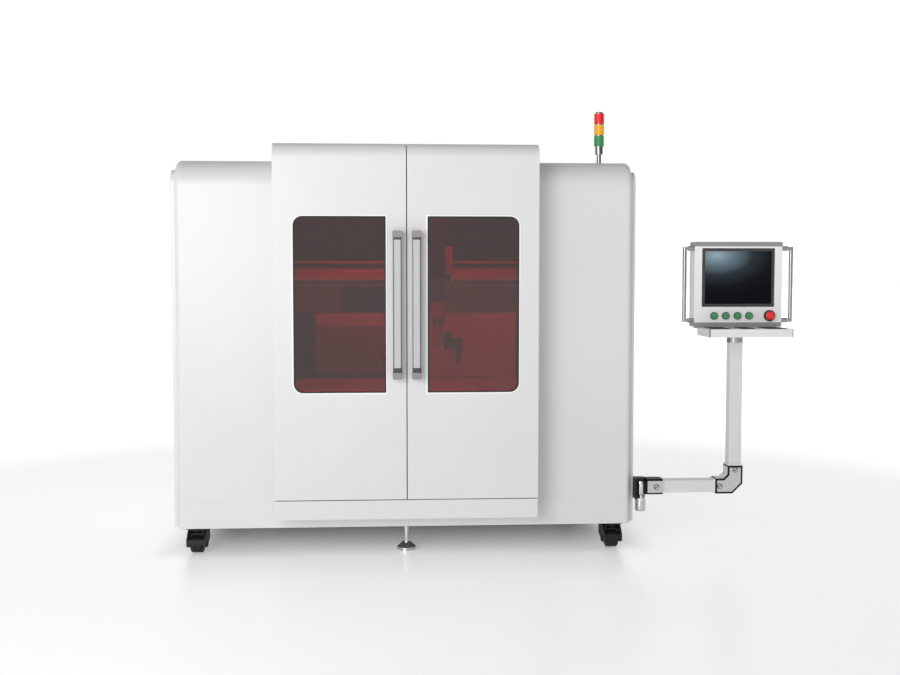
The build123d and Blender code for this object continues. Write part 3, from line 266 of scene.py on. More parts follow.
def begin(name, adder, spread, place, turn=(0.0, 0.0, 0.0), **options):
    """Add a primitive at its size and place, with the place in its mesh, and open it for editing."""
    bpy.ops.object.select_all(action="DESELECT")
    adder(location=place, rotation=turn, **options)
    piece = bpy.context.object
    piece.name = name
    piece.data.name = name
    piece.scale = spread
    bpy.ops.object.transform_apply(location=True, rotation=True, scale=True)
    bpy.ops.object.mode_set(mode="EDIT")
    return piece


def begin_round(name, middle, out, radius, length, corners):
    """Open a round or many-sided bar for editing, whose axis points along a direction."""
    turn = Vector(out).to_track_quat("Z", "Y").to_euler()
    return begin(
        name, bpy.ops.mesh.primitive_cylinder_add, (1.0, 1.0, 1.0), middle, turn,
        vertices=corners, radius=radius, depth=length,
    )


def settle(piece, finish, body):
    """Close a shaped piece: outward faces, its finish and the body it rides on."""
    bpy.ops.mesh.select_all(action="SELECT")
    bpy.ops.mesh.remove_doubles(threshold=0.00001)
    bpy.ops.mesh.normals_make_consistent(inside=False)
    bpy.ops.object.mode_set(mode="OBJECT")
    bpy.ops.object.shade_smooth_by_angle(angle=math.radians(35.0))
    piece.data.materials.clear()
    piece.data.materials.append(finish)
    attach(piece, body)


def copy_piece(piece, name, move, body, finish=None):
    """A copy of a settled piece, with a mesh of its own that is shifted, turned or mirrored."""
    twin = bpy.data.objects.new(name, piece.data.copy())
    twin.data.name = name
    twin.data.transform(move)
    if move.determinant() < 0:
        twin.data.flip_normals()
    if finish is not None:
        twin.data.materials[0] = finish
    bpy.context.scene.collection.objects.link(twin)
    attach(twin, body)


def headed_bolts(places, out, radius, height, corners, finish, body):
    """Bolt heads that stand out of a face at named places, each with a dished crown in its chamfer."""
    neck_share, chamfer_share, crown_share, dish_share = 0.8, 0.22, 0.30, 0.1
    (first_name, first_place), *others = places.items()
    first_place, out = Vector(first_place), Vector(out)
    neck = height * neck_share
    bolt = begin_round(first_name, first_place + out * neck / 2, out, radius, neck, corners)
    select_where(bolt, "FACE", lambda spot: (spot - first_place).dot(out) > neck - near)
    bpy.ops.mesh.inset(thickness=radius * chamfer_share, depth=height - neck)
    bpy.ops.mesh.inset(thickness=radius * crown_share, depth=-height * dish_share)
    settle(bolt, finish, body)
    for name, place in others:
        copy_piece(bolt, name, Matrix.Translation(Vector(place) - first_place), body)


caster_enamel = coated("caster_enamel", (0.009, 0.008, 0.009), 0.42, shine=0.3)
caster_tyre = coated("caster_tyre", (0.011, 0.010, 0.011), 0.55, relief=0.1, shine=0.3)
dress(caster_enamel, "caster_plates")
for corner in ("front_left", "front_right", "rear_left", "rear_right"):
    dress(caster_enamel, f"{corner}_caster_fork")
    dress(caster_tyre, f"{corner}_caster_wheel")
plate_low, plate_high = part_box("caster_plates")
plate_half_width, plate_half_depth, plate_sheet = 0.060, 0.050, 0.008
bolt_x, bolt_y = 0.050, 0.040
caster_x = plate_high.x - plate_half_width
caster_rows = (plate_low.y + plate_half_depth, plate_high.y - plate_half_depth)
caster_bolts = {
    f"caster_bolt_{row}_{side}_{turn_x}_{turn_y}": (
        side * caster_x + turn_x * bolt_x, caster_y + turn_y * bolt_y, plate_high.z - plate_sheet,
    )
    for side in (-1, 1)
    for row, caster_y in enumerate(caster_rows)
    for turn_x in (-1, 1)
    for turn_y in (-1, 1)
}
headed_bolts(
    caster_bolts, (0.0, 0.0, -1.0), radius=0.0075, height=0.0055, corners=6,
    finish=caster_enamel, body="cabinet",
)

# Levelling feet: turned and chromed pads on studs that screw into the base.
# The chrome is bright, so that it mirrors the floor and the machine's underside.
foot_chrome = coated("foot_chrome", (0.55, 0.53, 0.52), 0.06, metallic=1.0, relief=0.0)
dress(foot_chrome, "front_levelling_foot", "rear_levelling_foot")

# Chamber: a dark sprayed liner, grey girders and units, a cast bed, a ground table with a pale
# splash plate behind it, and a black fume duct. The liner is paler on both sides, below the beam.
# A near black paint, also used as painted shadow in the splash plate's foot lines and in the screws' slots.
black_and_shadow = grey(0.012)
wall_pale, wall_band = grey(0.36), (0.80, 1.30)
wall_left, wall_right = (-0.90, -0.36), (0.0, 0.90)
dress(
    coated(
        "liner_dark", black_and_shadow, 0.6,
        zones=((wall_pale, {"X": wall_left, "Z": wall_band}), (wall_pale, {"X": wall_right, "Z": wall_band})),
    ),
    "chamber_liner",
)
dress(coated("unit_grey", (0.45, 0.46, 0.48), 0.4), "laser_source", "control_cabinet")
dress(coated("girder_grey", (0.50, 0.50, 0.51), 0.4), "side_girders")
dress(coated("cast_bed", (0.22, 0.22, 0.23), 0.6, relief=0.2), "bed_pedestal")
dress(coated("ground_table", grey(0.68), 0.4, grain=(1.0, 12.0, 1.0), grain_size=60.0), "work_table")
# The splash plate is greyer on its left, with painted shade over its lower left and painted shadow lines
# along its foot where it meets the table.
splash_left, splash_right = (-0.50, 0.02), (0.02, 0.44)
splash_shade = (0.60, 1.030)
shadow_line_left, shadow_line_right = (0.70, 0.778), (0.70, 0.756)
dress(
    coated(
        "splash_plate", grey(0.78), 0.45,
        zones=(
            (grey(0.58), {"X": splash_left}),
            (grey(0.21), {"X": splash_left, "Z": splash_shade}),
            (black_and_shadow, {"X": splash_left, "Z": shadow_line_left}),
            (black_and_shadow, {"X": splash_right, "Z": shadow_line_right}),
        ),
    ),
    "back_plate",
)
dress(coated("duct_black", black_and_shadow, 0.6), "fume_duct")


# Gantry and head: a pale beam with black rails, a pale carriage, a black ribbed ram cover over a
# grey collar, and a dark five-axis head with a copper nozzle. A black hose hook, bent from strip,
# is screwed to the carriage.
def begin_block(name, size, middle):
    """Open a block of a given size and middle for editing."""
    return begin(name, bpy.ops.mesh.primitive_cube_add, size, middle, size=1.0)


def extrude(shift):
    """Pull the selected faces out by a shift."""
    bpy.ops.mesh.extrude_region_move(TRANSFORM_OT_translate={"value": shift})


beam_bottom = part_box("gantry_beam")[0].z
beam_lit_strip, rail_black = 0.016, (0.40, 0.5495)
# The beam's lowest strip is painted near white: painted light below the lower rail, which shades it.
dress(
    coated(
        "beam_pale", grey(0.58), 0.4,
        zones=(
            (grey(0.95), {"Z": (beam_bottom - near, beam_bottom + beam_lit_strip)}),
            (grey(0.01), {"Y": rail_black}),
        ),
    ),
    "gantry_beam",
)
dress(coated("carriage_pale", grey(0.58), 0.4), "x_carriage")
ram_collar = (1.00, 1.1625)
dress(coated("ram_cover", grey(0.020), 0.55, relief=0.1, zones=((grey(0.30), {"Z": ram_collar}),)), "z_ram")
drive_side, seam_ring = (0.2025, 0.30), (1.062, 1.08)
rotary_zones = ((black_and_shadow, {"X": drive_side}), (black_and_shadow, {"Z": seam_ring}))
dress(coated("rotary_grey", grey(0.32), 0.35, zones=rotary_zones), "c_head")
torch_neck = (0.85, 0.926)
dress(coated("torch_dark", black_and_shadow, 0.35, zones=((grey(0.05), {"Z": torch_neck}),)), "tilt_head")
dress(coated("nozzle_copper", (0.20, 0.10, 0.06), 0.3, metallic=1.0), "nozzle")
hook_black = coated("hook_black", grey(0.010), 0.5)
hook_width, hook_height, hook_sheet = 0.028, 0.038, 0.004
hook_reach, hook_tip, hook_gap = 0.012, 0.010, 0.0001
hook_x, hook_bottom = 0.225, 1.260
hook_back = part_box("x_carriage")[0].y - hook_gap
hook_face = hook_back - hook_sheet
hook_bend = hook_bottom + hook_sheet
hook = begin_block(
    "hose_hook", (hook_width, hook_sheet, hook_height),
    (hook_x, hook_back - hook_sheet / 2, hook_bottom + hook_height / 2),
)
bpy.ops.mesh.select_all(action="SELECT")
bpy.ops.mesh.bisect(plane_co=(0.0, 0.0, hook_bend), plane_no=(0.0, 0.0, 1.0))
select_where(hook, "FACE", lambda spot: spot.y < hook_face + near and spot.z < hook_bend)
extrude((0.0, -hook_reach, 0.0))
extrude((0.0, -hook_sheet, 0.0))
select_where(hook, "FACE", lambda spot: spot.y < hook_face - hook_reach - near and spot.z > hook_bend - near)
extrude((0.0, 0.0, hook_tip))
settle(hook, hook_black, "carriage")

# Cabinet shell: wing covers, side covers, bay hood and rear panel, folded from sheet steel, coated
# white and screwed together. Pressed hoods cover the rear louvres, and a lamp bar hangs in the hood.
dress(
    cabinet_white,
    "left_wing_cover", "right_wing_cover", "left_side_cover", "right_side_cover", "bay_hood", "rear_panel",
)
mirror_x = Matrix.Diagonal((-1.0, 1.0, 1.0, 1.0))
side_low, side_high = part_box("left_side_cover")
lip_height, lip_inset, lip_round = 0.026, 0.0002, 0.0020
lip = begin_block(
    "left_side_lip", (side_high.x - side_low.x - lip_inset, side_high.y - side_low.y, lip_height),
    ((side_low.x + side_high.x) / 2, (side_low.y + side_high.y) / 2, side_low.z - lip_height / 2),
)
select_where(
    lip, "EDGE", lambda spot: spot.x < side_low.x + lip_inset or spot.z < side_low.z - lip_height + near,
)
bpy.ops.mesh.bevel(offset=lip_round, segments=3, affect="EDGES")
settle(lip, cabinet_white, "cabinet")
wing_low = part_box("left_wing_cover")[0]
wing_corner = 0.024
strip_length, strip_depth, strip_height = 0.434, 0.0022, 0.0028
seam_y, seam_z = -0.0581, 0.2475
corner_x, corner_y = wing_low.x + wing_corner, wing_low.y + wing_corner
strip = begin_block(
    "left_seam_strip", (strip_length, strip_depth, strip_height),
    (corner_x + strip_length / 2, seam_y, seam_z),
)
select_where(strip, "FACE", lambda spot: spot.x < corner_x + near)
bpy.ops.mesh.spin(
    steps=8, angle=math.radians(90.0), center=(corner_x, corner_y, seam_z), axis=(0.0, 0.0, 1.0),
)
settle(strip, cabinet_white, "cabinet")
copy_piece(lip, "right_side_lip", mirror_x, "cabinet")
copy_piece(strip, "right_seam_strip", mirror_x, "cabinet")
rear_low, rear_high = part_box("rear_panel")
rear_sheet = 0.003
rear_face = rear_low.y + rear_sheet
louvre_x, louvre_z, louvre_rows, louvre_pitch = 0.720, 0.480, 6, 0.034
hood_width, hood_reach, hood_height = 0.272, 0.014, 0.020
hood_gap, hood_lift, hood_wall, hood_hollow, hood_round = 0.0002, 0.004, 0.0015, 0.007, 0.003
hood_slope = (0.0, -0.002, -0.010)
hood_y = rear_face + hood_gap + hood_reach / 2
lowest_z = louvre_z - (louvre_rows - 1) / 2 * louvre_pitch + hood_lift
hood_spots = {
    f"louvre_hood_{side}_{row}": Vector((side * louvre_x, hood_y, lowest_z + row * louvre_pitch))
    for side in (-1, 1)
    for row in range(louvre_rows)
}
(first_name, first_spot), *others = hood_spots.items()
hood = begin_block(first_name, (hood_width, hood_reach, hood_height), first_spot)
select_where(hood, "VERT", lambda spot: spot.y > first_spot.y and spot.z > first_spot.z)
bpy.ops.transform.translate(value=hood_slope)
select_where(hood, "FACE", lambda spot: spot.z < first_spot.z - hood_height / 2 + near)
bpy.ops.mesh.inset(thickness=hood_wall)
extrude((0.0, 0.0, hood_hollow))
select_where(
    hood, "EDGE",
    lambda spot: abs(spot.x - first_spot.x) > hood_width / 2 - near and spot.z > first_spot.z - hood_lift,
)
bpy.ops.mesh.bevel(offset=hood_round, segments=3, affect="EDGES")
settle(hood, cabinet_white, "cabinet")
for name, spot in others:
    copy_piece(hood, name, Matrix.Translation(spot - first_spot), "cabinet")
zinc = coated("zinc_screw", (0.60, 0.60, 0.61), 0.3, metallic=1.0)
side_margin, low_margin, top_margin = 0.025, 0.036, 0.024
side_pitch, top_pitch, low_pitch = 0.300, 0.360, 0.345
side_screws, edge_screws = 6, 2
screw_low_z = rear_low.z + low_margin
rear_screws = {}
for side in (-1, 1):
    for row in range(side_screws):
        place = (side * (rear_high.x - side_margin), rear_face, screw_low_z + row * side_pitch)
        rear_screws[f"rear_screw_{side}_{row}"] = place
    for row in range(edge_screws):
        place = (side * (row + 0.5) * top_pitch, rear_face, rear_high.z - top_margin)
        rear_screws[f"rear_top_screw_{side}_{row}"] = place
        place = (side * (row + 1) * low_pitch, rear_face, screw_low_z)
        rear_screws[f"rear_low_screw_{side}_{row}"] = place
headed_bolts(
    rear_screws, (0.0, 1.0, 0.0), radius=0.007, height=0.004, corners=20,
    finish=zinc, body="cabinet",
)
lamp_grey = coated("lamp_grey", (0.30, 0.30, 0.31), 0.4)
lamp_length, lamp_depth, lamp_height = 1.040, 0.040, 0.020
lamp_y, lamp_z, lamp_round, lamp_cap = -0.030, 1.816, 0.008, 0.002
lamp_bar = begin_block("lamp_bar", (lamp_length, lamp_depth, lamp_height), (0.0, lamp_y, lamp_z))
select_where(
    lamp_bar, "EDGE",
    lambda spot: spot.z < lamp_z - lamp_height / 2 + near and abs(spot.x) < lamp_length / 2 - near,
)
bpy.ops.mesh.bevel(offset=lamp_round, segments=3, affect="EDGES")
select_where(lamp_bar, "FACE", lambda spot: abs(spot.x) > lamp_length / 2 - near)
bpy.ops.mesh.inset(thickness=lamp_cap, use_individual=True)
settle(lamp_bar, lamp_grey, "cabinet")

# Doors: white coated leaves on steel pivots, with laser safety panes, tinted red right through, in
# black rubber seals. A moulded bead, whiter than the leaves as a painted highlight, frames each pane; a black
# brush fills the meeting gap as a dark stand-in for its shade; and black angles behind the hinge edges keep
# the chamber's light in.
window_tint = new_finish(
    "window_tint",
    {"Base Color": (0.30, 0.004, 0.004, 1.0), "Roughness": 0.02, "IOR": 1.57, "Transmission Weight": 1.0},
)[0]
dress(cabinet_white, "left_door", "right_door")
dress(coated("pin_steel", grey(0.6), 0.3, metallic=1.0), "door_pivots")
dress(window_tint, "left_window", "right_window")
seal_rubber = coated("seal_rubber", grey(0.006), 0.6, relief=0.05)
dress(seal_rubber, "left_window_seal", "right_window_seal")
# The bead is whiter than the cabinet's white: a painted highlight along the pane's edge.
bead_highlight_white = coated("bead_highlight_white", grey(0.95), 0.25)
bead_width, bead_height, bead_round, pane_corner = 0.006, 0.003, 0.0016, 0.042
for side in ("left", "right"):
    seal_low, seal_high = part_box(f"{side}_window_seal")
    bead = begin(
        f"{side}_window_bead", bpy.ops.mesh.primitive_plane_add,
        (seal_high.x - seal_low.x + 2 * bead_width, seal_high.z - seal_low.z + 2 * bead_width, 1.0),
        ((seal_low.x + seal_high.x) / 2, seal_low.y, (seal_low.z + seal_high.z) / 2),
        (math.radians(90.0), 0.0, 0.0), size=1.0,
    )
    hinge_edge = seal_low.x - bead_width if side == "left" else seal_high.x + bead_width
    select_where(bead, "VERT", lambda spot: abs(spot.x - hinge_edge) < near)
    bpy.ops.mesh.bevel(offset=pane_corner + bead_width, segments=10, affect="VERTICES")
    bpy.ops.mesh.select_all(action="SELECT")
    bpy.ops.mesh.inset(thickness=bead_width)
    bpy.ops.mesh.delete(type="FACE")
    bpy.ops.mesh.select_all(action="SELECT")
    extrude((0.0, -bead_height, 0.0))
    select_where(bead, "EDGE", lambda spot: spot.y < seal_low.y - bead_height + near)
    bpy.ops.mesh.bevel(offset=bead_round, segments=3, affect="EDGES")
    settle(bead, bead_highlight_white, f"{side}_door_leaf")
# The black brush in the meeting gap stands in for the shade there.
brush_width, brush_depth, brush_length, brush_round = 0.0034, 0.015, 1.520, 0.0012
brush_x, brush_y, brush_z = -0.0002, -0.1575, 1.050
brush = begin_block("meeting_brush", (brush_width, brush_depth, brush_length), (brush_x, brush_y, brush_z))
select_where(brush, "EDGE", lambda spot: spot.x > brush_x + near and abs(spot.z - brush_z) < near)
bpy.ops.mesh.bevel(offset=brush_round, segments=2, affect="EDGES")
settle(brush, seal_rubber, "left_door_leaf")
shield_sheet, shield_depth, shield_height = 0.003, 0.0296, 1.482
flange_sheet, flange_width, shield_gap = 0.0026, 0.012, 0.0002
shield_x, shield_z = -0.5791, 1.032
shield_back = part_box("bay_hood")[0].y - shield_gap
shield = begin_block(
    "left_light_shield", (shield_sheet, shield_depth, shield_height),
    (shield_x, shield_back - shield_depth / 2, shield_z),
)
bpy.ops.mesh.select_all(action="SELECT")
bpy.ops.mesh.bisect(plane_co=(0.0, shield_back - flange_sheet, 0.0), plane_no=(0.0, 1.0, 0.0))
select_where(
    shield, "FACE",
    lambda spot: spot.x < shield_x - shield_sheet / 2 + near and spot.y > shield_back - flange_sheet,
)
extrude((-flange_width, 0.0, 0.0))
settle(shield, seal_rubber, "cabinet")
copy_piece(shield, "right_light_shield", mirror_x, "cabinet")

# Door handles: satin aluminium bars with darker strips along their edges, between grey cast ends, with a
# painted shadow gap where each bar meets its end. They're bolted through the doors from behind.
dark_edge_strips = ((0.0570, 0.0632), (0.0236, 0.0285), (-0.0632, -0.0570), (-0.0285, -0.0236))
shadow_gap_bands = ((0.80, 0.884), (1.4565, 1.52))
end_bands = ((0.80, 0.8625), (1.4665, 1.52))
handle_zones = [(grey(0.17), {"X": strip}) for strip in dark_edge_strips]
# A dark band where each bar meets its cast end is painted shadow.
handle_zones += [((0.05, 0.045, 0.045), {"Z": band}) for band in shadow_gap_bands]
handle_zones += [(grey(0.26), {"Z": band}) for band in end_bands]
handle_satin = coated(
    "handle_satin", grey(0.52), 0.38, grain=(8.0, 8.0, 0.4), grain_size=120.0, zones=handle_zones,
)
dress(handle_satin, "left_handle", "right_handle")


# Swing arm: pale square tubes in black moulded corner pieces with pale cover plates, on a polished
# hinge barrel between the wall bracket's lugs. Slotted screws clamp the tubes, behind thin collars.
def slotted_screw(name, place, out, along, radius, height, finish, body):
    """A cheese-head screw on its washer, standing out of a face, with its slot along a direction."""
    washer_share, rim_share, slot_share, slot_depth_share = 0.3, 0.3, 0.22, 0.6
    out, along = Vector(out), Vector(along).normalized()
    across = out.cross(along)
    washer = height * washer_share
    rim = radius * rim_share
    screw = begin_round(name, place + out * washer / 2, out, radius + rim, washer, corners=24)
    select_where(screw, "FACE", lambda spot: (spot - place).dot(out) > washer - near)
    bpy.ops.mesh.inset(thickness=rim)
    extrude(out * (height - washer))
    for edge in (-slot_share, slot_share):
        bpy.ops.mesh.select_all(action="SELECT")
        bpy.ops.mesh.bisect(plane_co=place + across * radius * edge, plane_no=across)
    select_where(
        screw, "FACE",
        lambda spot: (spot - place).dot(out) > height - near and abs((spot - place).dot(across)) < near,
    )
    extrude(-out * height * slot_depth_share)
    settle(screw, finish, body)
    return screw


def turned_sleeve(name, axis, span, radius, wall, finish, body):
    """A polished tube round an upright axis, with eased rims."""
    half = (span[1] - span[0]) / 2
    middle = Vector((axis.x, axis.y, span[0] + half))
    sleeve = begin_round(name, middle, (0.0, 0.0, 1.0), radius, 2 * half, corners=48)
    select_where(sleeve, "FACE", lambda spot: abs(spot.z - middle.z) > half - near)
    bpy.ops.mesh.inset(thickness=wall, use_individual=True)
    bpy.ops.mesh.bridge_edge_loops()
    select_where(
        sleeve, "EDGE",
        lambda spot: abs(spot.z - middle.z) > half - near and (spot.xy - axis).length > radius - wall / 2,
    )
    bpy.ops.mesh.bevel(offset=wall / 2, segments=2, affect="EDGES")
    settle(sleeve, finish, body)


elbow_low, elbow_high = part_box("arm_elbow")
socket_low, socket_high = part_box("arm_socket")
tube_low, tube_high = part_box("arm_tubes")
tube_size = tube_high.y - tube_low.y
tube_y = (tube_low.y + tube_high.y) / 2
arm_z = tube_low.z + tube_size / 2
mast_x = tube_high.x - tube_size / 2
cover_sheet, cover_pale, moulded_black = 0.0012, grey(0.56), grey(0.010)
inner_corner = {"X": (1.478, 1.5305), "Y": (-0.0530, 0.0130), "Z": (0.3295, 0.3845)}


def cover_zones(low, high):
    """The pale cover plates on the front and the back of a corner piece."""
    return tuple((cover_pale, {"Y": (face - cover_sheet, face + cover_sheet)}) for face in (low.y, high.y))


dress(coated("tube_pale", grey(0.70), 0.36), "arm_tubes")
dress(
    coated(
        "elbow_moulded", moulded_black, 0.5, shine=0.2,
        zones=cover_zones(elbow_low, elbow_high) + ((grey(0.72), inner_corner),),
    ),
    "arm_elbow",
)
dress(
    coated("socket_moulded", moulded_black, 0.5, shine=0.2, zones=cover_zones(socket_low, socket_high)),
    "arm_socket",
)
dress(coated("bracket_black", (0.016, 0.014, 0.013), 0.5, shine=0.2), "arm_bracket")
dress(coated("coupling_satin", (0.34, 0.34, 0.35), 0.25, metallic=1.0), "panel_coupling")
sleeve_chrome = coated("sleeve_chrome", (0.62, 0.61, 0.60), 0.10, metallic=1.0, relief=0.0)
hinge_axis = Vector((1.118, -0.020))
sleeve_radius, sleeve_wall = 0.0250, 0.0008
for name, span, body in (
    ("barrel_sleeve", (0.2545, 0.3185), "swing_arm"),
    ("stub_sleeve", (0.1765, 0.2525), "cabinet"),
):
    turned_sleeve(name, hinge_axis, span, sleeve_radius, sleeve_wall, sleeve_chrome, body)
slot_shade_rise = 0.0017


def slot_shaded_finish(name, low, high):
    """A screw's grey finish, with painted shade in its slot and round its foot, up to a rise above the faces
    of its corner piece.
    """
    dark = {"Y": (low.y - slot_shade_rise, high.y + slot_shade_rise)}
    return coated(name, grey(0.55), 0.35, zones=((black_and_shadow, dark),))


elbow_screw = slot_shaded_finish("elbow_screw", elbow_low, elbow_high)
socket_screw = slot_shaded_finish("socket_screw", socket_low, socket_high)
screw_radius, screw_height, screw_slot_way = 0.010, 0.003, (1.0, 0.0, 0.7)
low_screw_x, high_screw_z, socket_screw_x = 1.492, 0.372, 1.186
for face, out, elbow_y, socket_y in (
    ("front", -1.0, elbow_low.y, socket_low.y),
    ("back", 1.0, elbow_high.y, socket_high.y),
):
    low_spot = Vector((low_screw_x, elbow_y, arm_z))
    screw = slotted_screw(
        f"elbow_low_{face}_screw", low_spot, (0.0, out, 0.0), screw_slot_way, screw_radius, screw_height,
        elbow_screw, "swing_arm",
    )
    shift = Matrix.Translation(Vector((mast_x, elbow_y, high_screw_z)) - low_spot)
    copy_piece(screw, f"elbow_high_{face}_screw", shift, "swing_arm")
    shift = Matrix.Translation(Vector((socket_screw_x, socket_y, arm_z)) - low_spot)
    copy_piece(screw, f"socket_{face}_screw", shift, "swing_arm", socket_screw)
collar_pale = coated("collar_pale", grey(0.78), 0.3)
collar_gap, collar_length, collar_rise, collar_wall = 0.0002, 0.006, 0.004, 0.0037
collar_off = collar_gap + collar_length / 2
collar_size = tube_size + 2 * collar_rise
socket_spot = Vector((socket_high.x + collar_off, tube_y, arm_z))
collar = begin_block("socket_collar", (collar_length, collar_size, collar_size), socket_spot)
select_where(collar, "FACE", lambda spot: abs(spot.x - socket_spot.x) > collar_length / 2 - near)
bpy.ops.mesh.inset(thickness=collar_wall, use_individual=True)
bpy.ops.mesh.bridge_edge_loops()
settle(collar, collar_pale, "swing_arm")
low_spot = Vector((elbow_low.x - collar_off, tube_y, arm_z))
copy_piece(collar, "elbow_low_collar", Matrix.Translation(low_spot - socket_spot), "swing_arm")
stand_up = Matrix.Rotation(math.radians(90.0), 4, "Y") @ Matrix.Translation(-socket_spot)
high_spot = Vector((mast_x, tube_y, elbow_high.z + collar_off))
copy_piece(collar, "elbow_high_collar", Matrix.Translation(high_spot) @ stand_up, "swing_arm")


# Operator panel: a pale sprayed case between darker end trims, a lit screen in a dark border, polished
# grab bars, green keys and a red stop in a black ring, over a pale keyboard shelf with rubber pads.
def lit_screen(name, glow, spread):
    """A black glass with a soft cold glow round one spot."""
    finish, tree, shader = new_finish(
        name,
        {
            "Base Color": (0.004, 0.004, 0.005, 1.0), "Roughness": 0.14, "Specular IOR Level": 0.02,
            "Emission Strength": 1.0,
        },
    )
    place = tree.nodes.new("ShaderNodeTexCoord")
    squeeze = tree.nodes.new("ShaderNodeVectorMath")
    squeeze.operation = "MULTIPLY"
    squeeze.inputs[1].default_value = spread
    reach = tree.nodes.new("ShaderNodeVectorMath")
    reach.operation = "DISTANCE"
    reach.inputs[1].default_value = tuple(a * b for a, b in zip(glow, spread))
    tint = tree.nodes.new("ShaderNodeValToRGB")
    tint.color_ramp.elements[0].color = (0.28, 0.38, 0.46, 1.0)
    tint.color_ramp.elements[1].color = (0.001, 0.0015, 0.002, 1.0)
    tint.color_ramp.elements.new(0.22).color = (0.13, 0.18, 0.22, 1.0)
    tint.color_ramp.elements.new(0.48).color = (0.022, 0.030, 0.036, 1.0)
    tint.color_ramp.elements.new(0.75).color = (0.004, 0.005, 0.006, 1.0)
    tree.links.new(place.outputs["Object"], squeeze.inputs[0])
    tree.links.new(squeeze.outputs["Vector"], reach.inputs[0])
    tree.links.new(reach.outputs["Value"], tint.inputs["Fac"])
    tree.links.new(tint.outputs["Color"], shader.inputs["Emission Color"])
    return finish


trim_grey, trim_top, trim_bottom = grey(0.28), (1.4335, 1.50), (1.00, 1.0755)
key_bezels = {"X": (1.430, 1.640), "Y": (-0.0685, -0.0605), "Z": (1.087, 1.127)}
dress(
    coated(
        "panel_pale", grey(0.86), 0.36,
        zones=((trim_grey, {"Z": trim_top}), (trim_grey, {"Z": trim_bottom}), (grey(0.06), key_bezels)),
    ),
    "panel_housing",
)
left_seam, right_seam = (1.3714, 1.3765), (1.7555, 1.7606)
# Both ends of the shelf are painted darker, the right end more: painted shade on its rounded ends.
left_end_shade, right_end_shade = (1.36, 1.3714), (1.7606, 1.77)
shelf_zones = [(grey(0.14), {"X": seam}) for seam in (left_seam, right_seam)]
shelf_zones += [(grey(0.70), {"X": left_end_shade}), (grey(0.48), {"X": right_end_shade})]
dress(coated("shelf_pale", grey(0.78), 0.36, zones=shelf_zones), "keyboard_shelf")
dress(lit_screen("screen_glow", glow=(1.462, 0.0, 1.394), spread=(2.8, 0.0, 5.0)), "panel_screen")
grab_polished = coated(
    "grab_polished", grey(0.30), 0.2, metallic=1.0, grain=(8.0, 8.0, 0.4), grain_size=120.0,
)
dress(grab_polished, "panel_handles")
key_green = coated("key_green", (0.045, 0.30, 0.11), 0.3)
dress(key_green, "push_button_1", "push_button_2", "push_button_3", "push_button_4")
dress(coated("stop_red", (1.0, 0.014, 0.022), 0.3), "emergency_stop")
stop_spot = Vector((1.718, 0.0, 1.107))
ring_back, ring_front, ring_shoulder = -0.0602, -0.0676, -0.0662
ring_radius, ring_wall, ring_lip = 0.0265, 0.0012, 0.0059
stop_ring = begin_round(
    "stop_ring", (stop_spot.x, (ring_back + ring_front) / 2, stop_spot.z), (0.0, -1.0, 0.0),
    ring_radius, ring_back - ring_front, corners=48,
)
select_where(stop_ring, "FACE", lambda spot: spot.y > ring_back - near)
bpy.ops.mesh.inset(thickness=ring_wall)
extrude((0.0, ring_shoulder - ring_back, 0.0))
bpy.ops.mesh.inset(thickness=ring_lip - ring_wall)
select_where(stop_ring, "FACE", lambda spot: spot.y < ring_front + near)
bpy.ops.mesh.inset(thickness=ring_lip)
select_where(
    stop_ring, "FACE",
    lambda spot: (spot.xz - stop_spot.xz).length < near and spot.y < ring_shoulder + near,
)
bpy.ops.mesh.bridge_edge_loops()
settle(stop_ring, seal_rubber, "operator_panel")
border_grey = coated("border_grey", (0.035, 0.033, 0.033), 0.45)
screen_low, screen_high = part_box("panel_screen")
border_depth, border_width, border_gap = 0.0008, 0.014, 0.0001
border_y = screen_low.y - border_gap - border_depth / 2
border = begin_block(
    "screen_border", (screen_high.x - screen_low.x, border_depth, screen_high.z - screen_low.z),
    ((screen_low.x + screen_high.x) / 2, border_y, (screen_low.z + screen_high.z) / 2),
)
select_where(border, "FACE", lambda spot: abs(spot.y - border_y) > border_depth / 2 - near)
bpy.ops.mesh.inset(thickness=border_width, use_individual=True)
bpy.ops.mesh.bridge_edge_loops()
settle(border, border_grey, "operator_panel")
block_metal = coated("grab_block", grey(0.30), 0.25, metallic=1.0, grain=(0.4, 8.0, 8.0), grain_size=120.0)
grab_low, grab_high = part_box("panel_handles")
block_length, block_width, block_round = 0.028, 0.021, 0.0035
block_x, block_inset = 0.2243, 0.007
block_y = (grab_low.y + grab_high.y) / 2
block_spots = {
    f"grab_{side_name}_{end}_block": Vector((mast_x + side * block_x, block_y, block_z))
    for side, side_name in ((-1, "left"), (1, "right"))
    for end, block_z in (("low", grab_low.z + block_inset), ("high", grab_high.z - block_inset))
}
(first_name, first_spot), *others = block_spots.items()
block = begin_block(first_name, (block_length, block_width, block_width), first_spot)
select_where(block, "EDGE", lambda spot: abs(spot.x - first_spot.x) < near)
bpy.ops.mesh.bevel(offset=block_round, segments=3, affect="EDGES")
settle(block, block_metal, "operator_panel")
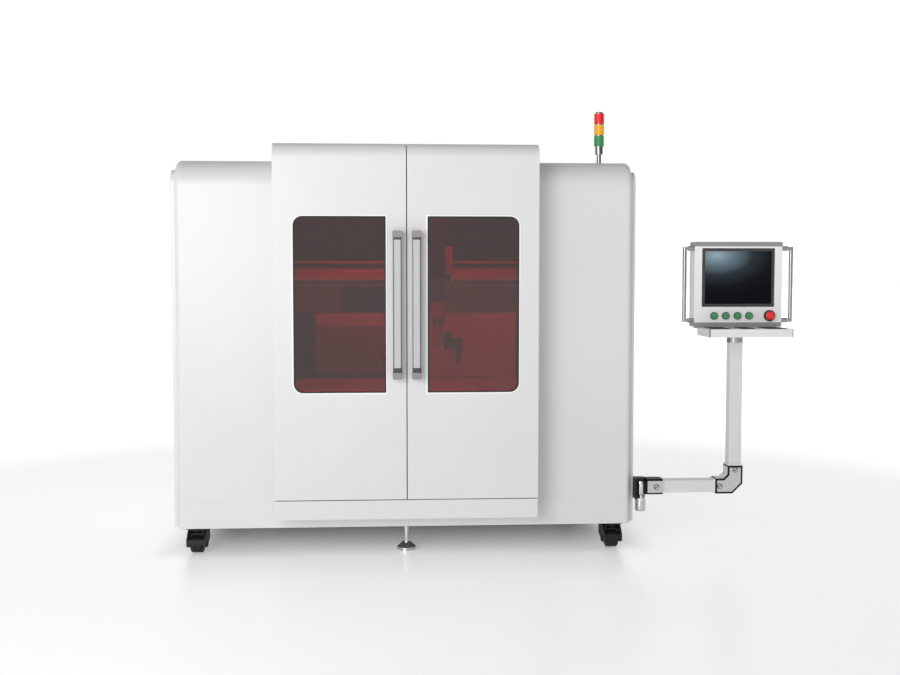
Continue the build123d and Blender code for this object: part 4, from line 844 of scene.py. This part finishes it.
for name, spot in others:
    copy_piece(block, name, Matrix.Translation(spot - first_spot), "operator_panel")
pad_black = coated("pad_black", (0.012, 0.011, 0.011), 0.6, relief=0.1)
pad_depth, pad_height, pad_round = 0.150, 0.002, 0.006
pad_y, pad_z = -0.165, 1.0541
for index, (pad_x, pad_width) in enumerate(((-0.130, 0.085), (0.0, 0.055), (0.130, 0.089)), 1):
    pad = begin_block(
        f"shelf_pad_{index}", (pad_width, pad_depth, pad_height), (mast_x + pad_x, pad_y, pad_z),
    )
    select_where(pad, "EDGE", lambda spot: abs(spot.z - pad_z) < near)
    bpy.ops.mesh.bevel(offset=pad_round, segments=4, affect="EDGES")
    settle(pad, pad_black, "operator_panel")


# Signal tower: a chromed pole and base with chromed rings, and three ribbed moulded lenses.
# It stands on the right wing's roof, screwed through its foot.
def ribbed_lens(name, colour, glow):
    """A moulded lens with fine level ribs and a faint light of its own."""
    finish, tree, shader = new_finish(
        name,
        {
            "Base Color": colour + (1.0,), "Roughness": 0.3,
            "Emission Color": colour + (1.0,), "Emission Strength": glow,
        },
    )
    place = tree.nodes.new("ShaderNodeTexCoord")
    ribs = tree.nodes.new("ShaderNodeTexWave")
    ribs.bands_direction = "Z"
    ribs.inputs["Scale"].default_value = 60.0
    skin = tree.nodes.new("ShaderNodeBump")
    skin.inputs["Strength"].default_value = 0.25
    skin.inputs["Distance"].default_value = 0.001
    tree.links.new(place.outputs["Object"], ribs.inputs["Vector"])
    tree.links.new(ribs.outputs["Fac"], skin.inputs["Height"])
    tree.links.new(skin.outputs["Normal"], shader.inputs["Normal"])
    return finish


chrome_dark = coated("chrome_dark", grey(0.28), 0.12, metallic=1.0, grain=(1.0, 1.0, 6.0), grain_size=120.0)
dress(chrome_dark, "signal_base")
dress(ribbed_lens("lens_green", (0.030, 0.26, 0.085), glow=0.06), "signal_green")
dress(ribbed_lens("lens_amber", (0.88, 0.42, 0.02), glow=0.05), "signal_amber")
dress(ribbed_lens("lens_red", (0.82, 0.008, 0.014), glow=0.08), "signal_red")
